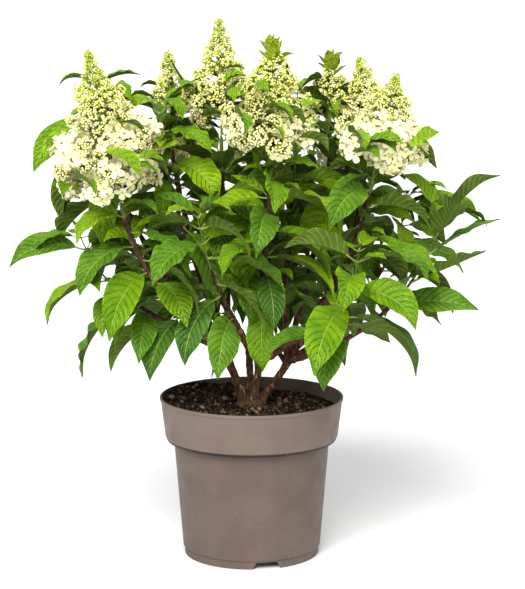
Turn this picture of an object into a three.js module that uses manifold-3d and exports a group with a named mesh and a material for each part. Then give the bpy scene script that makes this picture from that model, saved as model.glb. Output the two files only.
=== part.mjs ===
// A panicle hydrangea in flower, growing in a round nursery pot.
// Millimetres, +Z up, origin at the centre of the pot's flat underside, front of the plant towards -Y.
import * as THREE from "three";
import { mergeVertices } from "three/addons/utils/BufferGeometryUtils.js";
import Module from "manifold-3d";

const wasm = await Module();
wasm.setup();

// ---------------------------------------------------------------- driving dimensions

const GAP = 0.3; // clearance between neighbouring solids

const POT = {
  height: 201,
  rimRadius: 115,
  bandFootRadius: 108.3, // the lower edge of the band under the rim
  bandFoot: 152,
  neckRadius: 97.6, // the wall just under the band
  neck: 147,
  baseRadius: 86.6,
  footRadius: 84.6,
  footHeight: 10,
  wall: 1.8,
  floor: 12, // the inside of the floor
  floorUnder: 9.5, // the floor's underside, which the foot ring lifts off the ground
  padRadius: 16, // the pad under the middle of the floor stands on the ground
  segments: 26,
};
const NOTCH = { count: 3, azimuth: -77, topWidth: 26, footWidth: 37, height: 8.5 };
const DRAIN = { count: 6, azimuth: 30, ring: 56, radius: 5, sides: 10 };

const SOIL = { top: 189, edge: 183, heap: 19, heapAzimuth: 152, roughness: 1.6, flatRadius: 30, seed: 3 };

// The woody foot: a low hump, and the main stems that rise from it to their forks.
const HUMP = { radius: 19, height: 15, sides: 10 };
const MAIN_STEMS = {
  left: { azimuth: 196, spread: 10, reach: 33, fork: 262, leave: 8, thick: 7.4 },
  middle: { azimuth: 310, spread: 7, reach: 13, fork: 250, leave: -4, thick: 6.8 },
  right: { azimuth: 4, spread: 12, reach: 46, fork: 247, leave: 14, thick: 6.8 },
  back: { azimuth: 95, spread: 10, reach: 36, fork: 256, leave: 12, thick: 6.6 },
};
// A side stem that was cut off.
const PRUNED = { stem: "right", azimuth: 185, lean: 30, length: 46, radius: 3.2 };

// Each shoot is a limb from a main stem's fork. azimuth, reach and top place its end, seen from the pot's
// middle, and leave and arrive are its lean from upright at the two ends. It bears leaves from the share
// `leafy` of its length, in pairs, the first one turned to `phase`. Where it flowers, `bloom` sizes the head.
const SHOOTS = [
  { name: "left_front", stem: "left", azimuth: 197.5, reach: 165, top: 450, leave: 50, arrive: 12, thick: 5.6,
    leafy: 0.28, pairs: 9, phase: 235, twigs: 2, seed: 11,
    bloom: { length: 190, radius: 71, showy: 0.6 } },
  { name: "left_low", stem: "left", azimuth: 186, reach: 212, top: 408, leave: 62, arrive: 20, thick: 4.2,
    leafy: 0.3, pairs: 7, phase: 190, twigs: 1, seed: 98 },
  { name: "left_side", stem: "left", azimuth: 169, reach: 196, top: 592, leave: 44, arrive: 4, thick: 4.4,
    leafy: 0.36, pairs: 10, phase: 190, twigs: 2, tilt: -14, seed: 12 },
  { name: "left_inner", stem: "left", azimuth: 165, reach: 118, top: 572, leave: 20, arrive: 2, thick: 4.0,
    leafy: 0.42, pairs: 9, phase: 225, twigs: 1, seed: 25 },
  { name: "left_back", stem: "left", azimuth: 133, reach: 152, top: 530, leave: 24, arrive: 3, thick: 4.4,
    leafy: 0.4, pairs: 7, phase: 100, twigs: 1, seed: 55,
    bloom: { length: 96, radius: 33, showy: 0.1 } },
  { name: "centre_back", stem: "left", azimuth: 140, reach: 49, top: 522, leave: -16, arrive: 4, thick: 4.8,
    leafy: 0.42, pairs: 7, phase: 130, twigs: 1, seed: 14,
    bloom: { length: 147, radius: 48, showy: 0.15 } },
  { name: "front_left", stem: "middle", azimuth: 232, reach: 104, top: 440, leave: 36, arrive: 12, thick: 4.0,
    leafy: 0.3, pairs: 8, phase: 236, twigs: 2, seed: 90 },
  { name: "centre_front", stem: "middle", azimuth: 286, reach: 84, top: 500, leave: 6, arrive: 5, thick: 5.2,
    leafy: 0.3, pairs: 9, phase: 262, twigs: 2, seed: 15,
    bloom: { length: 155, radius: 62, showy: 0.35 } },
  { name: "front_right", stem: "right", azimuth: 318, reach: 172, top: 405, leave: 72, arrive: 8, thick: 4.0,
    leafy: 0.4, pairs: 7, phase: 345, twigs: 2, seed: 13 },
  { name: "right_front", stem: "middle", azimuth: 339, reach: 158, top: 486, leave: 62, arrive: 13, thick: 5.6,
    leafy: 0.42, pairs: 8, phase: 336, twigs: 2, seed: 16,
    bloom: { length: 124, radius: 60, showy: 0.6 } },
  { name: "centre_right", stem: "right", azimuth: 30, reach: 66, top: 582, leave: -10, arrive: 0, thick: 4.2,
    leafy: 0.4, pairs: 9, phase: 320, twigs: 1, seed: 94 },
  { name: "right_outer", stem: "right", azimuth: 9, reach: 142, top: 524, leave: 32, arrive: -4, thick: 4.4,
    leafy: 0.38, pairs: 7, phase: 12, twigs: 1, seed: 43,
    bloom: { length: 98, radius: 42, showy: 0.3 } },
  { name: "right_back", stem: "right", azimuth: 38, reach: 126, top: 526, leave: 20, arrive: 1, thick: 4.4,
    leafy: 0.42, pairs: 7, phase: 60, twigs: 1, seed: 61,
    bloom: { length: 102, radius: 40, showy: 0.2 } },
  { name: "right_side", stem: "right", azimuth: 4, reach: 195, top: 455, leave: 58, arrive: 8, thick: 4.0,
    leafy: 0.28, pairs: 9, phase: 337, twigs: 0, tilt: 5, stiff: 0.9, seed: 37 },
  { name: "right_low", stem: "right", azimuth: 352.5, reach: 238, top: 440, leave: 74, arrive: 14, thick: 3.8,
    leafy: 0.5, pairs: 7, phase: 352, twigs: 0, tilt: 36, stiff: 0.4, seed: 19 },
  { name: "back_left", stem: "back", azimuth: 120, reach: 190, top: 446, leave: 44, arrive: 9, thick: 4.6,
    leafy: 0.3, pairs: 8, phase: 120, twigs: 2, seed: 53,
    bloom: { length: 112, radius: 50, showy: 0.5 } },
  { name: "back_centre", stem: "back", azimuth: 84, reach: 168, top: 462, leave: 30, arrive: 6, thick: 4.8,
    leafy: 0.3, pairs: 8, phase: 84, twigs: 2, seed: 80,
    bloom: { length: 112, radius: 52, showy: 0.5 } },
  { name: "back_right", stem: "back", azimuth: 52, reach: 194, top: 440, leave: 46, arrive: 9, thick: 4.6,
    leafy: 0.3, pairs: 8, phase: 52, twigs: 2, seed: 64,
    bloom: { length: 108, radius: 48, showy: 0.5 } },
];
const LIMB = { sides: 5, steps: 5, tipShare: 0.5, stump: 33 };
const LEAFY_STEM = { sides: 3, steps: 6 };

const CROWN = { floor: 226, radius: 322 }; // no leaf tip lies lower or further out
// A leaf's petiole and blade. rise and droop are its slope where it leaves the stem and how far it bends
// down, each from the lowest leaf of a shoot to the topmost, and roll is how far it may tip to either side.
const LEAF = { length: 102, halfWidth: 25.5, petiole: 15, neck: 1.4, stations: [0.32, 0.7], edge: 0.5,
  thickness: 1.4, fold: 15, rise: [-22, 24], droop: [60, 66], roll: 45, scale: [1.04, 0.84] };
const ROOM = { over: 1, under: 2, beside: 1 }; // what a blade keeps clear above, below and beside it
const TRIES = 9; // how often a leaf looks for room, a little smaller each time
const TWIG = { length: 46, radius: 1.7, leafScale: 0.86 };

const PANICLE = { stalk: 14, stalkRadius: 2.2, core: 0.84, sides: 8, rings: 5, lump: 0.12,
  level: 34, blossom: 12, floret: 16, spacing: 3.4 };

// ---------------------------------------------------------------- directions and numbers

const radians = THREE.MathUtils.degToRad;
const lerp = THREE.MathUtils.lerp;

// A seeded source of numbers from 0 to 1.
function seeded(seed) {
  let state = seed >>> 0;
  return () => {
    state = (state + 0x6d2b79f5) >>> 0;
    let t = Math.imul(state ^ (state >>> 15), state | 1);
    t ^= t + Math.imul(t ^ (t >>> 7), t | 61);
    return ((t ^ (t >>> 14)) >>> 0) / 4294967296;
  };
}

// A number within `spread` of `middle`.
const near = (random, middle, spread) => middle + spread * (2 * random() - 1);

// The unit vector at an azimuth and an elevation above the horizon, in degrees.
function heading(azimuth, elevation = 0) {
  const [a, e] = [radians(azimuth), radians(elevation)];
  return new THREE.Vector3(Math.cos(a) * Math.cos(e), Math.sin(a) * Math.cos(e), Math.sin(e));
}

// A point at an azimuth, a distance from the pot's axis and a height.
const placeAt = (azimuth, reach, height) => heading(azimuth).multiplyScalar(reach).setZ(height);

// ---------------------------------------------------------------- solids

// A closed three.js geometry as a solid that can be cut and joined.
function solidOf(geometry) {
  const bare = geometry.clone();
  bare.deleteAttribute("normal");
  bare.deleteAttribute("uv");
  const merged = mergeVertices(bare);
  const vertProperties = merged.attributes.position.array;
  const triVerts = new Uint32Array(merged.index.array);
  return new wasm.Manifold(new wasm.Mesh({ numProp: 3, vertProperties, triVerts }));
}

// Solids joined into one. Loose scraps and sealed hollows are dropped.
function fuse(solids) {
  const bodies = solids.reduce((sum, next) => sum.add(next)).decompose();
  return bodies.reduce((a, b) => (b.volume() > a.volume() ? b : a));
}

// A named mesh of a solid.
function meshOf(name, solid, material) {
  const { vertProperties, triVerts } = solid.getMesh();
  const geometry = new THREE.BufferGeometry();
  geometry.setAttribute("position", new THREE.BufferAttribute(vertProperties, 3));
  geometry.setIndex(new THREE.BufferAttribute(triVerts, 1));
  geometry.computeVertexNormals();
  const mesh = new THREE.Mesh(geometry, material);
  mesh.name = name;
  return mesh;
}

// Moves each vertex of a geometry to where `place` puts it.
function reshape(geometry, place) {
  const positions = geometry.attributes.position;
  const point = new THREE.Vector3();
  for (let i = 0; i < positions.count; i++) {
    place(point.fromBufferAttribute(positions, i));
    positions.setXYZ(i, point.x, point.y, point.z);
  }
  return geometry;
}

// A closed solid turned about the pot's axis from [radius, height] points that run from the axis to the axis.
function turned(points, segments) {
  const profile = points.map(([radius, height]) => new THREE.Vector2(radius, height));
  return new THREE.LatheGeometry(profile, segments).rotateX(Math.PI / 2);
}

// ---------------------------------------------------------------- pot and soil

// The wall's outer profile from the foot up to the rim.
const potOutside = () => [
  [POT.footRadius, 0],
  [POT.footRadius, POT.footHeight],
  [POT.baseRadius, POT.footHeight + 1],
  [POT.neckRadius, POT.neck],
  [POT.bandFootRadius - 3, POT.neck],
  [POT.bandFootRadius, POT.bandFoot],
  [POT.rimRadius - 0.8, POT.height - 3],
  [POT.rimRadius, POT.height - 1],
  [POT.rimRadius - 0.7, POT.height],
];

// The inner profile from the rim down to the floor. It steps out behind the band as the outer one does.
const potInside = (clear = 0) => [
  [POT.rimRadius - 0.8 - POT.wall - clear, POT.height],
  [POT.bandFootRadius - POT.wall - clear, POT.bandFoot + 1],
  [POT.neckRadius - POT.wall - clear, POT.neck + POT.wall],
  [POT.baseRadius - POT.wall - clear, POT.floor + clear],
];

function potSolid() {
  const foot = POT.footRadius - 2 * POT.wall;
  const underside = [
    [POT.padRadius, 0],
    [POT.padRadius + 2, POT.floorUnder],
    [foot, POT.floorUnder],
    [foot, 0],
  ];
  const profile = [[0, 0], ...underside, ...potOutside(), ...potInside(), [0, POT.floor]];
  const shell = solidOf(turned(profile, POT.segments));
  const notches = repeated(NOTCH.count, (turn) => notchCutter(NOTCH.azimuth + turn));
  const holes = repeated(DRAIN.count, (turn) => drainCutter(DRAIN.azimuth + turn));
  return [...notches, ...holes].reduce((solid, cutter) => solid.subtract(cutter), shell);
}

// Makes `count` things, each told its turn in degrees.
const repeated = (count, make) => Array.from({ length: count }, (_, i) => make((360 * i) / count));

// A wedge that cuts a drainage notch, wider at the ground, through the foot ring.
function notchCutter(azimuth) {
  const [top, foot] = [NOTCH.topWidth / 2, NOTCH.footWidth / 2];
  const outline = new THREE.Shape();
  outline.moveTo(-foot, -1);
  outline.lineTo(foot, -1);
  outline.lineTo(top, NOTCH.height);
  outline.lineTo(-top, NOTCH.height);
  const reach = 3 * POT.padRadius;
  const depth = POT.baseRadius + 10 - reach;
  const wedge = new THREE.ExtrudeGeometry(outline, { depth, bevelEnabled: false });
  wedge.translate(0, 0, reach).rotateX(Math.PI / 2).rotateZ(radians(azimuth + 90));
  return solidOf(wedge);
}

// A round bore that drains the floor.
function drainCutter(azimuth) {
  const { x, y } = placeAt(azimuth, DRAIN.ring, 0);
  const bore = new THREE.CylinderGeometry(DRAIN.radius, DRAIN.radius, 2 * POT.floor, DRAIN.sides);
  return solidOf(bore.rotateX(Math.PI / 2).translate(x, y, POT.floor));
}

// The soil's height at a place: level under the plant, lower at the wall, with a heap against one side.
function soilHeight(x, y, random) {
  const reach = Math.hypot(x, y);
  const out = THREE.MathUtils.clamp((reach - SOIL.flatRadius) / (POT.rimRadius - SOIL.flatRadius), 0, 1);
  const toHeap = Math.cos(Math.atan2(y, x) - radians(SOIL.heapAzimuth));
  const heap = SOIL.heap * out * Math.pow(Math.max(toHeap, 0), 2);
  const rough = near(random, 0, SOIL.roughness) * Math.min(1, 5 * out);
  return lerp(SOIL.top, SOIL.edge, out) + heap + rough;
}

// The filling of the pot. Its top is laid level with the rim, and then each place of it is let down to the
// soil's height, and in to the wall there.
function soilSolid() {
  const random = seeded(SOIL.seed);
  const [rim, bandFoot, ...below] = potInside(GAP);
  const wallRadiusAt = (z) => THREE.MathUtils.mapLinear(z, bandFoot[1], rim[1], bandFoot[0], rim[0]);
  const rings = [SOIL.flatRadius, 0.48 * rim[0], 0.7 * rim[0], 0.9 * rim[0]];
  const top = rings.reverse().map((radius) => [radius, POT.height]);
  const profile = [[0, POT.floor + GAP], ...below.reverse(), bandFoot, rim, ...top, [0, POT.height]];
  const heights = new Map(); // the first and last columns of the turned profile share their places
  return solidOf(
    reshape(turned(profile, POT.segments), (p) => {
      if (p.z < POT.height - 0.001) return;
      const place = `${p.x.toFixed(2)} ${p.y.toFixed(2)}`.replaceAll("-0.00", "0.00");
      if (!heights.has(place)) heights.set(place, soilHeight(p.x, p.y, random));
      p.z = heights.get(place);
      const inward = Math.min(1, wallRadiusAt(p.z) / Math.hypot(p.x, p.y));
      p.multiply(new THREE.Vector3(inward, inward, 1));
    }),
  );
}

// ---------------------------------------------------------------- limbs

// A tapering limb with flat ends along a stretch of a curve.
function limbSolid(curve, from, to, radiusAt, sides, steps) {
  const tube = new THREE.CylinderGeometry(1, 1, 1, sides, steps);
  return solidOf(
    reshape(tube, (p) => {
      const t = lerp(from, to, 0.5 - p.y);
      const along = curve.getTangent(t);
      const side = new THREE.Vector3().crossVectors(along, heading(90)).normalize();
      const back = new THREE.Vector3().crossVectors(along, side);
      const [x, z, r] = [p.x, p.z, radiusAt(t)];
      p.copy(curve.getPoint(t)).addScaledVector(side, x * r).addScaledVector(back, z * r);
    }),
  );
}

// How much of a curve's parameter a short distance takes at t.
const shareOf = (curve, t, distance) =>
  (0.001 * distance) / curve.getPoint(t).distanceTo(curve.getPoint(t + 0.001));

// A smooth bend between two points that leaves and arrives at given leans from upright.
function bend(foot, top, leave, arrive) {
  const azimuth = THREE.MathUtils.radToDeg(Math.atan2(top.y - foot.y, top.x - foot.x));
  const pull = 0.38 * foot.distanceTo(top);
  const low = heading(azimuth, 90 - leave).multiplyScalar(pull).add(foot);
  const high = heading(azimuth, 90 - arrive).multiplyScalar(-pull).add(top);
  return new THREE.CubicBezierCurve3(foot, low, high, top);
}

function mainStemCurve(stem) {
  const foot = placeAt(stem.azimuth, stem.spread, SOIL.top + GAP);
  return bend(foot, placeAt(stem.azimuth, stem.reach, stem.fork), stem.leave, 1.2 * stem.leave);
}

function shootCurve(shoot) {
  const fork = mainStemCurve(MAIN_STEMS[shoot.stem]).getPoint(0.95);
  return bend(fork, placeAt(shoot.azimuth, shoot.reach, shoot.top), shoot.leave, shoot.arrive);
}

// A shoot's radius at a share t of its length.
const shootRadius = (shoot) => (t) => shoot.thick * lerp(1, LIMB.tipShare, Math.pow(t, 0.8));

// The low hump, the main stems, the foot of each shoot and the pruned side stem, in one.
function woodyFoot() {
  const solids = [
    solidOf(
      turned(
        [
          [0, SOIL.top + GAP],
          [HUMP.radius, SOIL.top + GAP],
          [0.62 * HUMP.radius, SOIL.top + 0.6 * HUMP.height],
          [0, SOIL.top + HUMP.height],
        ],
        HUMP.sides,
      ),
    ),
  ];
  for (const stem of Object.values(MAIN_STEMS)) {
    const flare = (t) => stem.thick * lerp(1.35, 1, Math.min(3 * t, 1));
    const curve = mainStemCurve(stem);
    solids.push(levelFoot(limbSolid(curve, 0, 1, flare, LIMB.sides + 1, 3)));
  }
  for (const shoot of SHOOTS) {
    const { curve, stumpEnd } = shoot;
    solids.push(limbSolid(curve, 0, stumpEnd, shootRadius(shoot), LIMB.sides, 1));
  }
  const fork = mainStemCurve(MAIN_STEMS[PRUNED.stem]).getPoint(0.9);
  const cut = fork.clone().addScaledVector(heading(PRUNED.azimuth, 90 - PRUNED.lean), PRUNED.length);
  solids.push(limbSolid(new THREE.LineCurve3(fork, cut), 0, 1, () => PRUNED.radius, LIMB.sides, 1));
  return fuse(solids);
}

// A limb whose lower end is cut level with the soil.
function levelFoot(limb) {
  const below = new THREE.BoxGeometry(400, 400, 100).translate(0, 0, SOIL.top + GAP - 50);
  return limb.subtract(solidOf(below));
}

// ---------------------------------------------------------------- leaves

// The blade's half width at a share u of its length, as a share of the largest.
const bladeShape = (u) => (Math.pow(u, 0.7) * Math.pow(1 - u, 1.15)) / 0.293;

// A point of the midrib's arc, with the blade's own side and face directions there.
function midribAt(leaf, u) {
  const [rise, droop, roll] = [radians(leaf.rise), radians(leaf.droop), radians(leaf.roll)];
  const angle = rise - droop * u;
  const radius = leaf.length / droop;
  const out = heading(leaf.azimuth);
  const across = heading(leaf.azimuth + 90);
  const upward = new THREE.Vector3(0, 0, Math.cos(angle)).addScaledVector(out, -Math.sin(angle));
  const point = leaf.root.clone().addScaledVector(heading(leaf.azimuth, leaf.rise), leaf.petiole);
  point.addScaledVector(out, radius * (Math.sin(rise) - Math.sin(angle)));
  point.z += radius * (Math.cos(angle) - Math.cos(rise));
  return {
    point,
    side: across.clone().multiplyScalar(Math.cos(roll)).addScaledVector(upward, Math.sin(roll)),
    face: upward.clone().multiplyScalar(Math.cos(roll)).addScaledVector(across, -Math.sin(roll)),
  };
}

// A closed blade drawn over `stations`, which run from the root end to the tip. Its section is a shallow
// triangle: two edges, and a keel under the midrib.
function bladeSolid(stations) {
  const last = stations.length - 1;
  const sleeve = new THREE.SphereGeometry(1, 3, last, -Math.PI / 2);
  return solidOf(
    reshape(sleeve, (p) => {
      const row = Math.round((Math.acos(THREE.MathUtils.clamp(p.y, -1, 1)) / Math.PI) * last);
      const { point, side, face, half, edge, keel } = stations[row];
      const across = row === 0 || row === last ? 0 : Math.sign(Math.round(10 * p.x));
      p.copy(point);
      if (side) p.addScaledVector(side, across * half).addScaledVector(face, across ? edge : -keel);
    }),
  );
}

// The blade at a share u of its length, with its edges `edge` over the midrib and its keel `keel` under it.
function bladeStation(leaf, u, edge, keel) {
  return { ...midribAt(leaf, u), half: leaf.halfWidth * bladeShape(u), edge, keel };
}

// A leaf from the middle of its stem through a short neck to the tip.
function leafSolid(leaf) {
  const neck = bladeStation(leaf, 0, LEAF.neck / 2, LEAF.neck);
  neck.point = leaf.root.clone().lerp(neck.point, 0.4);
  neck.half = LEAF.neck;
  const blade = LEAF.stations.map((u) => bladeStation(leaf, u, LEAF.edge, LEAF.thickness - LEAF.edge));
  return bladeSolid([{ point: leaf.root }, neck, ...blade, { point: midribAt(leaf, 1).point }]);
}

// The space that a leaf keeps to itself, from halfway up its petiole, with room for the fold of a real blade.
function leafRoom(leaf) {
  const start = leaf.root.clone().lerp(midribAt(leaf, 0).point, 0.5);
  const blade = [0.05, 0.3, 0.55, 0.85].map((u) => {
    const station = bladeStation(leaf, u, 0, ROOM.under);
    const fold = station.half * Math.tan(radians(LEAF.fold));
    return { ...station, half: station.half + ROOM.beside, edge: fold + ROOM.over };
  });
  return bladeSolid([{ point: start }, ...blade, { point: midribAt(leaf, 1.03).point }]);
}

// ---------------------------------------------------------------- what is already there

const placed = []; // every solid that a later one keeps clear of, with the name of what it belongs to

function claim(solid, owner) {
  placed.push({ solid, owner, box: solid.boundingBox() });
  return solid;
}

const boxesApart = (a, b) => [0, 1, 2].some((i) => a.min[i] > b.max[i] || b.min[i] > a.max[i]);

// Whether a solid keeps clear of everything placed, apart from what `owner` placed.
function isFree(solid, owner = null) {
  const box = solid.boundingBox();
  const meets = (other) => !boxesApart(box, other.box) && !solid.intersect(other.solid).isEmpty();
  return !placed.some((other) => (owner === null || other.owner !== owner) && meets(other));
}

// Whether a leaf's tip lies within the crown.
function isInCrown(leaf) {
  const tip = midribAt(leaf, 1).point;
  return tip.z > CROWN.floor && Math.hypot(tip.x, tip.y) < CROWN.radius;
}

// ---------------------------------------------------------------- foliage

// How the leaves at a share of a shoot's leafy length are held.
const leafHabit = (share) => ({
  rise: lerp(...LEAF.rise, Math.pow(share, 1.6)),
  droop: lerp(...LEAF.droop, share),
  scale: lerp(...LEAF.scale, share * share),
});

// Tries a leaf a few times, each time with another turn and droop, and returns the first one that has room.
function growLeaf(random, owner, wanted) {
  for (let attempt = 0; attempt < TRIES; attempt++) {
    const scale = near(random, wanted.scale, 0.1) * (1 - 0.035 * attempt);
    const leaf = {
      root: wanted.root,
      azimuth: near(random, wanted.azimuth, 12 + 7 * attempt),
      rise: near(random, wanted.rise, 10 + 4 * attempt),
      droop: near(random, wanted.droop, 14 + 4 * attempt),
      roll: near(random, 0, LEAF.roll),
      length: LEAF.length * scale,
      petiole: LEAF.petiole * scale,
      halfWidth: LEAF.halfWidth * scale * near(random, 1, 0.08),
    };
    if (!isInCrown(leaf) || !isFree(leafRoom(leaf))) continue;
    const solid = leafSolid(leaf);
    if (isFree(solid, owner)) return claim(solid, owner);
  }
  return null;
}

// A side twig from a leaf's axil, with a pair of leaves at its middle and another at its end.
function growTwig(random, owner, root, azimuth, share) {
  const turn = near(random, azimuth, 24);
  const length = TWIG.length * near(random, 1, 0.3);
  const end = heading(turn, near(random, 34, 14)).multiplyScalar(length).add(root);
  const line = new THREE.LineCurve3(root, end);
  if (!isFree(limbSolid(line, 0.3, 1.05, () => TWIG.radius + 1, 3, 1))) return [];
  const twig = limbSolid(line, 0, 1, () => TWIG.radius, 3, 1);
  if (!isFree(twig, owner)) return [];
  claim(twig, owner);
  const leaves = [];
  for (const [place, spread] of [[0.55, 72], [0.97, 48]]) {
    for (const side of [-1, 1]) {
      const azimuthHere = turn + side * spread;
      const wanted = { ...leafHabit(share), root: line.getPoint(place), azimuth: azimuthHere };
      wanted.scale *= TWIG.leafScale;
      leaves.push(growLeaf(random, owner, wanted));
    }
  }
  return [twig, ...leaves];
}

// Where each leaf of a shoot stands: pairs, each one crosswise to the last, up the leafy stem.
function axils(shoot) {
  const found = [];
  for (let pair = 0; pair < shoot.pairs; pair++) {
    const share = (pair + 0.35) / shoot.pairs;
    const root = shoot.curve.getPoint(lerp(shoot.leafy, 0.985, share));
    const turn = shoot.phase + 90 * pair;
    found.push({ pair, share, root, azimuth: turn }, { pair, share, root, azimuth: turn + 180 });
  }
  return found;
}

// The leaves on the stem itself.
function growPairs(shoot) {
  return axils(shoot).map(({ share, root, azimuth }) => {
    const habit = leafHabit(share);
    habit.rise += shoot.tilt ?? 0;
    habit.droop *= shoot.stiff ?? 1;
    return growLeaf(shoot.random, shoot.name, { ...habit, root, azimuth });
  });
}

// The leafy twigs in the lower axils.
function growTwigs(shoot) {
  const { random, name, twigs } = shoot;
  const lower = axils(shoot).filter(({ pair }) => pair < twigs);
  return lower.flatMap(({ share, root, azimuth }) => growTwig(random, name, root, azimuth, share));
}

// ---------------------------------------------------------------- flower heads

// The head's half width at a share u of its length: straight sides to the tip, rounded in at its foot.
const headShape = (u) => Math.min(1, 1.5 * (1 - u)) * Math.min(1, 0.62 + 3 * u);

// Carries a geometry made along +Z from the origin to the shoot's end, and leans it as the shoot does there.
function standHead(geometry, shoot) {
  const turn = new THREE.Quaternion().setFromUnitVectors(heading(0, 90), shoot.curve.getTangent(1));
  return geometry.applyQuaternion(turn).translate(...shoot.curve.getPoint(1).toArray());
}

// The stalk, and the dense lumpy middle that the blossoms stand out of.
function headCore(shoot) {
  const { length, radius } = shoot.bloom;
  const lumpy = new THREE.SphereGeometry(1, PANICLE.sides, PANICLE.rings).rotateX(Math.PI / 2);
  reshape(lumpy, (p) => {
    const u = 0.5 + 0.5 * p.z;
    const around = Math.atan2(p.y, p.x);
    const lump = 1 + PANICLE.lump * Math.cos(4 * around + 9 * u);
    const reach = Math.abs(p.z) > 0.999 ? 0 : PANICLE.core * radius * headShape(u) * lump;
    p.set(Math.cos(around) * reach, Math.sin(around) * reach, lerp(PANICLE.stalk, length, u));
  });
  const stalk = new THREE.CylinderGeometry(PANICLE.stalkRadius, PANICLE.stalkRadius, 2 * PANICLE.stalk, 5);
  stalk.rotateX(Math.PI / 2).translate(0, 0, PANICLE.stalk + GAP);
  return fuse([lumpy, stalk].map((geometry) => solidOf(standHead(geometry, shoot))));
}

// One head: blossoms in rings up the cone, the broad showy florets below and tight buds above.
function flowerHead(shoot) {
  const random = seeded(100 + shoot.seed);
  const { length, radius, showy } = shoot.bloom;
  const solids = [shoot.core];
  const levels = Math.round((length - PANICLE.stalk) / PANICLE.level);
  for (let level = 0; level < levels; level++) {
    const u = (level + 0.35) / levels;
    const size = (u < showy ? PANICLE.floret : PANICLE.blossom) * lerp(1.1, 0.7, u);
    const reach = radius * headShape(u) - 0.8 * size;
    const count = Math.max(3, Math.round((2 * Math.PI * reach) / (PANICLE.spacing * size)));
    for (let i = 0; i < count; i++) {
      const azimuth = (360 * (i + 0.5 * (level % 2) + near(random, 0, 0.25))) / count;
      const blossom = new THREE.OctahedronGeometry(size);
      blossom.rotateX(near(random, 0, 0.8)).rotateZ(radians(azimuth));
      const at = placeAt(azimuth, near(random, 0.95, 0.05) * reach, lerp(PANICLE.stalk, length, u));
      const solid = solidOf(standHead(blossom.translate(at.x, at.y, at.z), shoot));
      if (isFree(solid, headOwner(shoot))) solids.push(solid);
    }
  }
  return claim(fuse(solids), headOwner(shoot));
}

const headOwner = (shoot) => `${shoot.name}_flower_head`;

// ---------------------------------------------------------------- the plant in its pot

const matte = (name, color, roughness) => new THREE.MeshStandardMaterial({ name, color, roughness });
const MATERIALS = {
  plastic: matte("pot_plastic", 0x8c7a70, 0.6),
  soil: matte("potting_soil", 0x2a211a, 1),
  bark: matte("bark", 0x6b4a35, 0.85),
  leaf: matte("leaf", 0x4b8a2a, 0.5),
  blossom: matte("blossom", 0xeef0c8, 0.7),
};

const plant = new THREE.Group();
plant.name = "panicle_hydrangea";

function addPart(name, solid, material) {
  plant.add(meshOf(name, solid, material));
}

for (const shoot of SHOOTS) {
  shoot.curve = shootCurve(shoot);
  shoot.stumpEnd = shareOf(shoot.curve, 0, LIMB.stump);
  const boughStart = shoot.stumpEnd + shareOf(shoot.curve, shoot.stumpEnd, GAP);
  const leafyStart = shoot.leafy + shareOf(shoot.curve, shoot.leafy, GAP);
  const radiusAt = shootRadius(shoot);
  shoot.bough = limbSolid(shoot.curve, boughStart, shoot.leafy, radiusAt, LIMB.sides, LIMB.steps);
  shoot.leafyStem = limbSolid(shoot.curve, leafyStart, 1, radiusAt, LEAFY_STEM.sides, LEAFY_STEM.steps);
}

addPart("pot", claim(potSolid(), "pot"), MATERIALS.plastic);
addPart("soil", claim(soilSolid(), "soil"), MATERIALS.soil);
addPart("woody_foot", claim(woodyFoot(), "woody_foot"), MATERIALS.bark);
for (const shoot of SHOOTS) {
  addPart(`${shoot.name}_bough`, claim(shoot.bough, `${shoot.name}_bough`), MATERIALS.bark);
  claim(shoot.leafyStem, shoot.name);
}
const flowering = SHOOTS.filter((shoot) => shoot.bloom);
for (const shoot of flowering) {
  shoot.core = claim(headCore(shoot), headOwner(shoot));
}
for (const shoot of SHOOTS) {
  shoot.random = seeded(shoot.seed);
  shoot.leaves = growPairs(shoot);
}
for (const shoot of SHOOTS) {
  const grown = [shoot.leafyStem, ...shoot.leaves, ...growTwigs(shoot)].filter(Boolean);
  addPart(`${shoot.name}_foliage`, fuse(grown), MATERIALS.leaf);
}
for (const shoot of flowering) {
  addPart(headOwner(shoot), flowerHead(shoot), MATERIALS.blossom);
}

export default plant;
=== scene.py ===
"""The looks of a panicle hydrangea in its nursery pot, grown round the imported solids.

Shapes are worked out in millimetres, in the frame of the solids, and become metres when a mesh is made.
The plant grows by the rule of the solids' source, with the same seeded draws. Where that rule tries several
places for a leaf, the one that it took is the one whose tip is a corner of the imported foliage.
"""

import math
from dataclasses import dataclass
from types import SimpleNamespace as Sizes

import bmesh
import bpy
import numpy as np
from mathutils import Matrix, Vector, kdtree, noise


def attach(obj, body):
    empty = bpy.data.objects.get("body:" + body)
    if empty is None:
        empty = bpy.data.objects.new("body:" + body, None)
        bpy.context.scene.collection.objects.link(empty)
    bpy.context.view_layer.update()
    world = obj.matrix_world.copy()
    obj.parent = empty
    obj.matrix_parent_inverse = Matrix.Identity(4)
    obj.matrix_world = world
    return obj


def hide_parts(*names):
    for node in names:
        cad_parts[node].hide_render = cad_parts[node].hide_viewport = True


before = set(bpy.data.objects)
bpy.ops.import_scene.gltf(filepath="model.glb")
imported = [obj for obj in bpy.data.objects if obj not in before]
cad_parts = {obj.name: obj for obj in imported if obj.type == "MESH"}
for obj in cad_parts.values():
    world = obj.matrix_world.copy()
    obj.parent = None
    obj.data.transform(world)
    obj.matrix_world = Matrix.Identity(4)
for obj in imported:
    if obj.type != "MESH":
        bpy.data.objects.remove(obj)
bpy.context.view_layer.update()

MM = 0.001
UP = np.array([0.0, 0.0, 1.0])

# ---- the source's sizes, in millimetres and degrees

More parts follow.
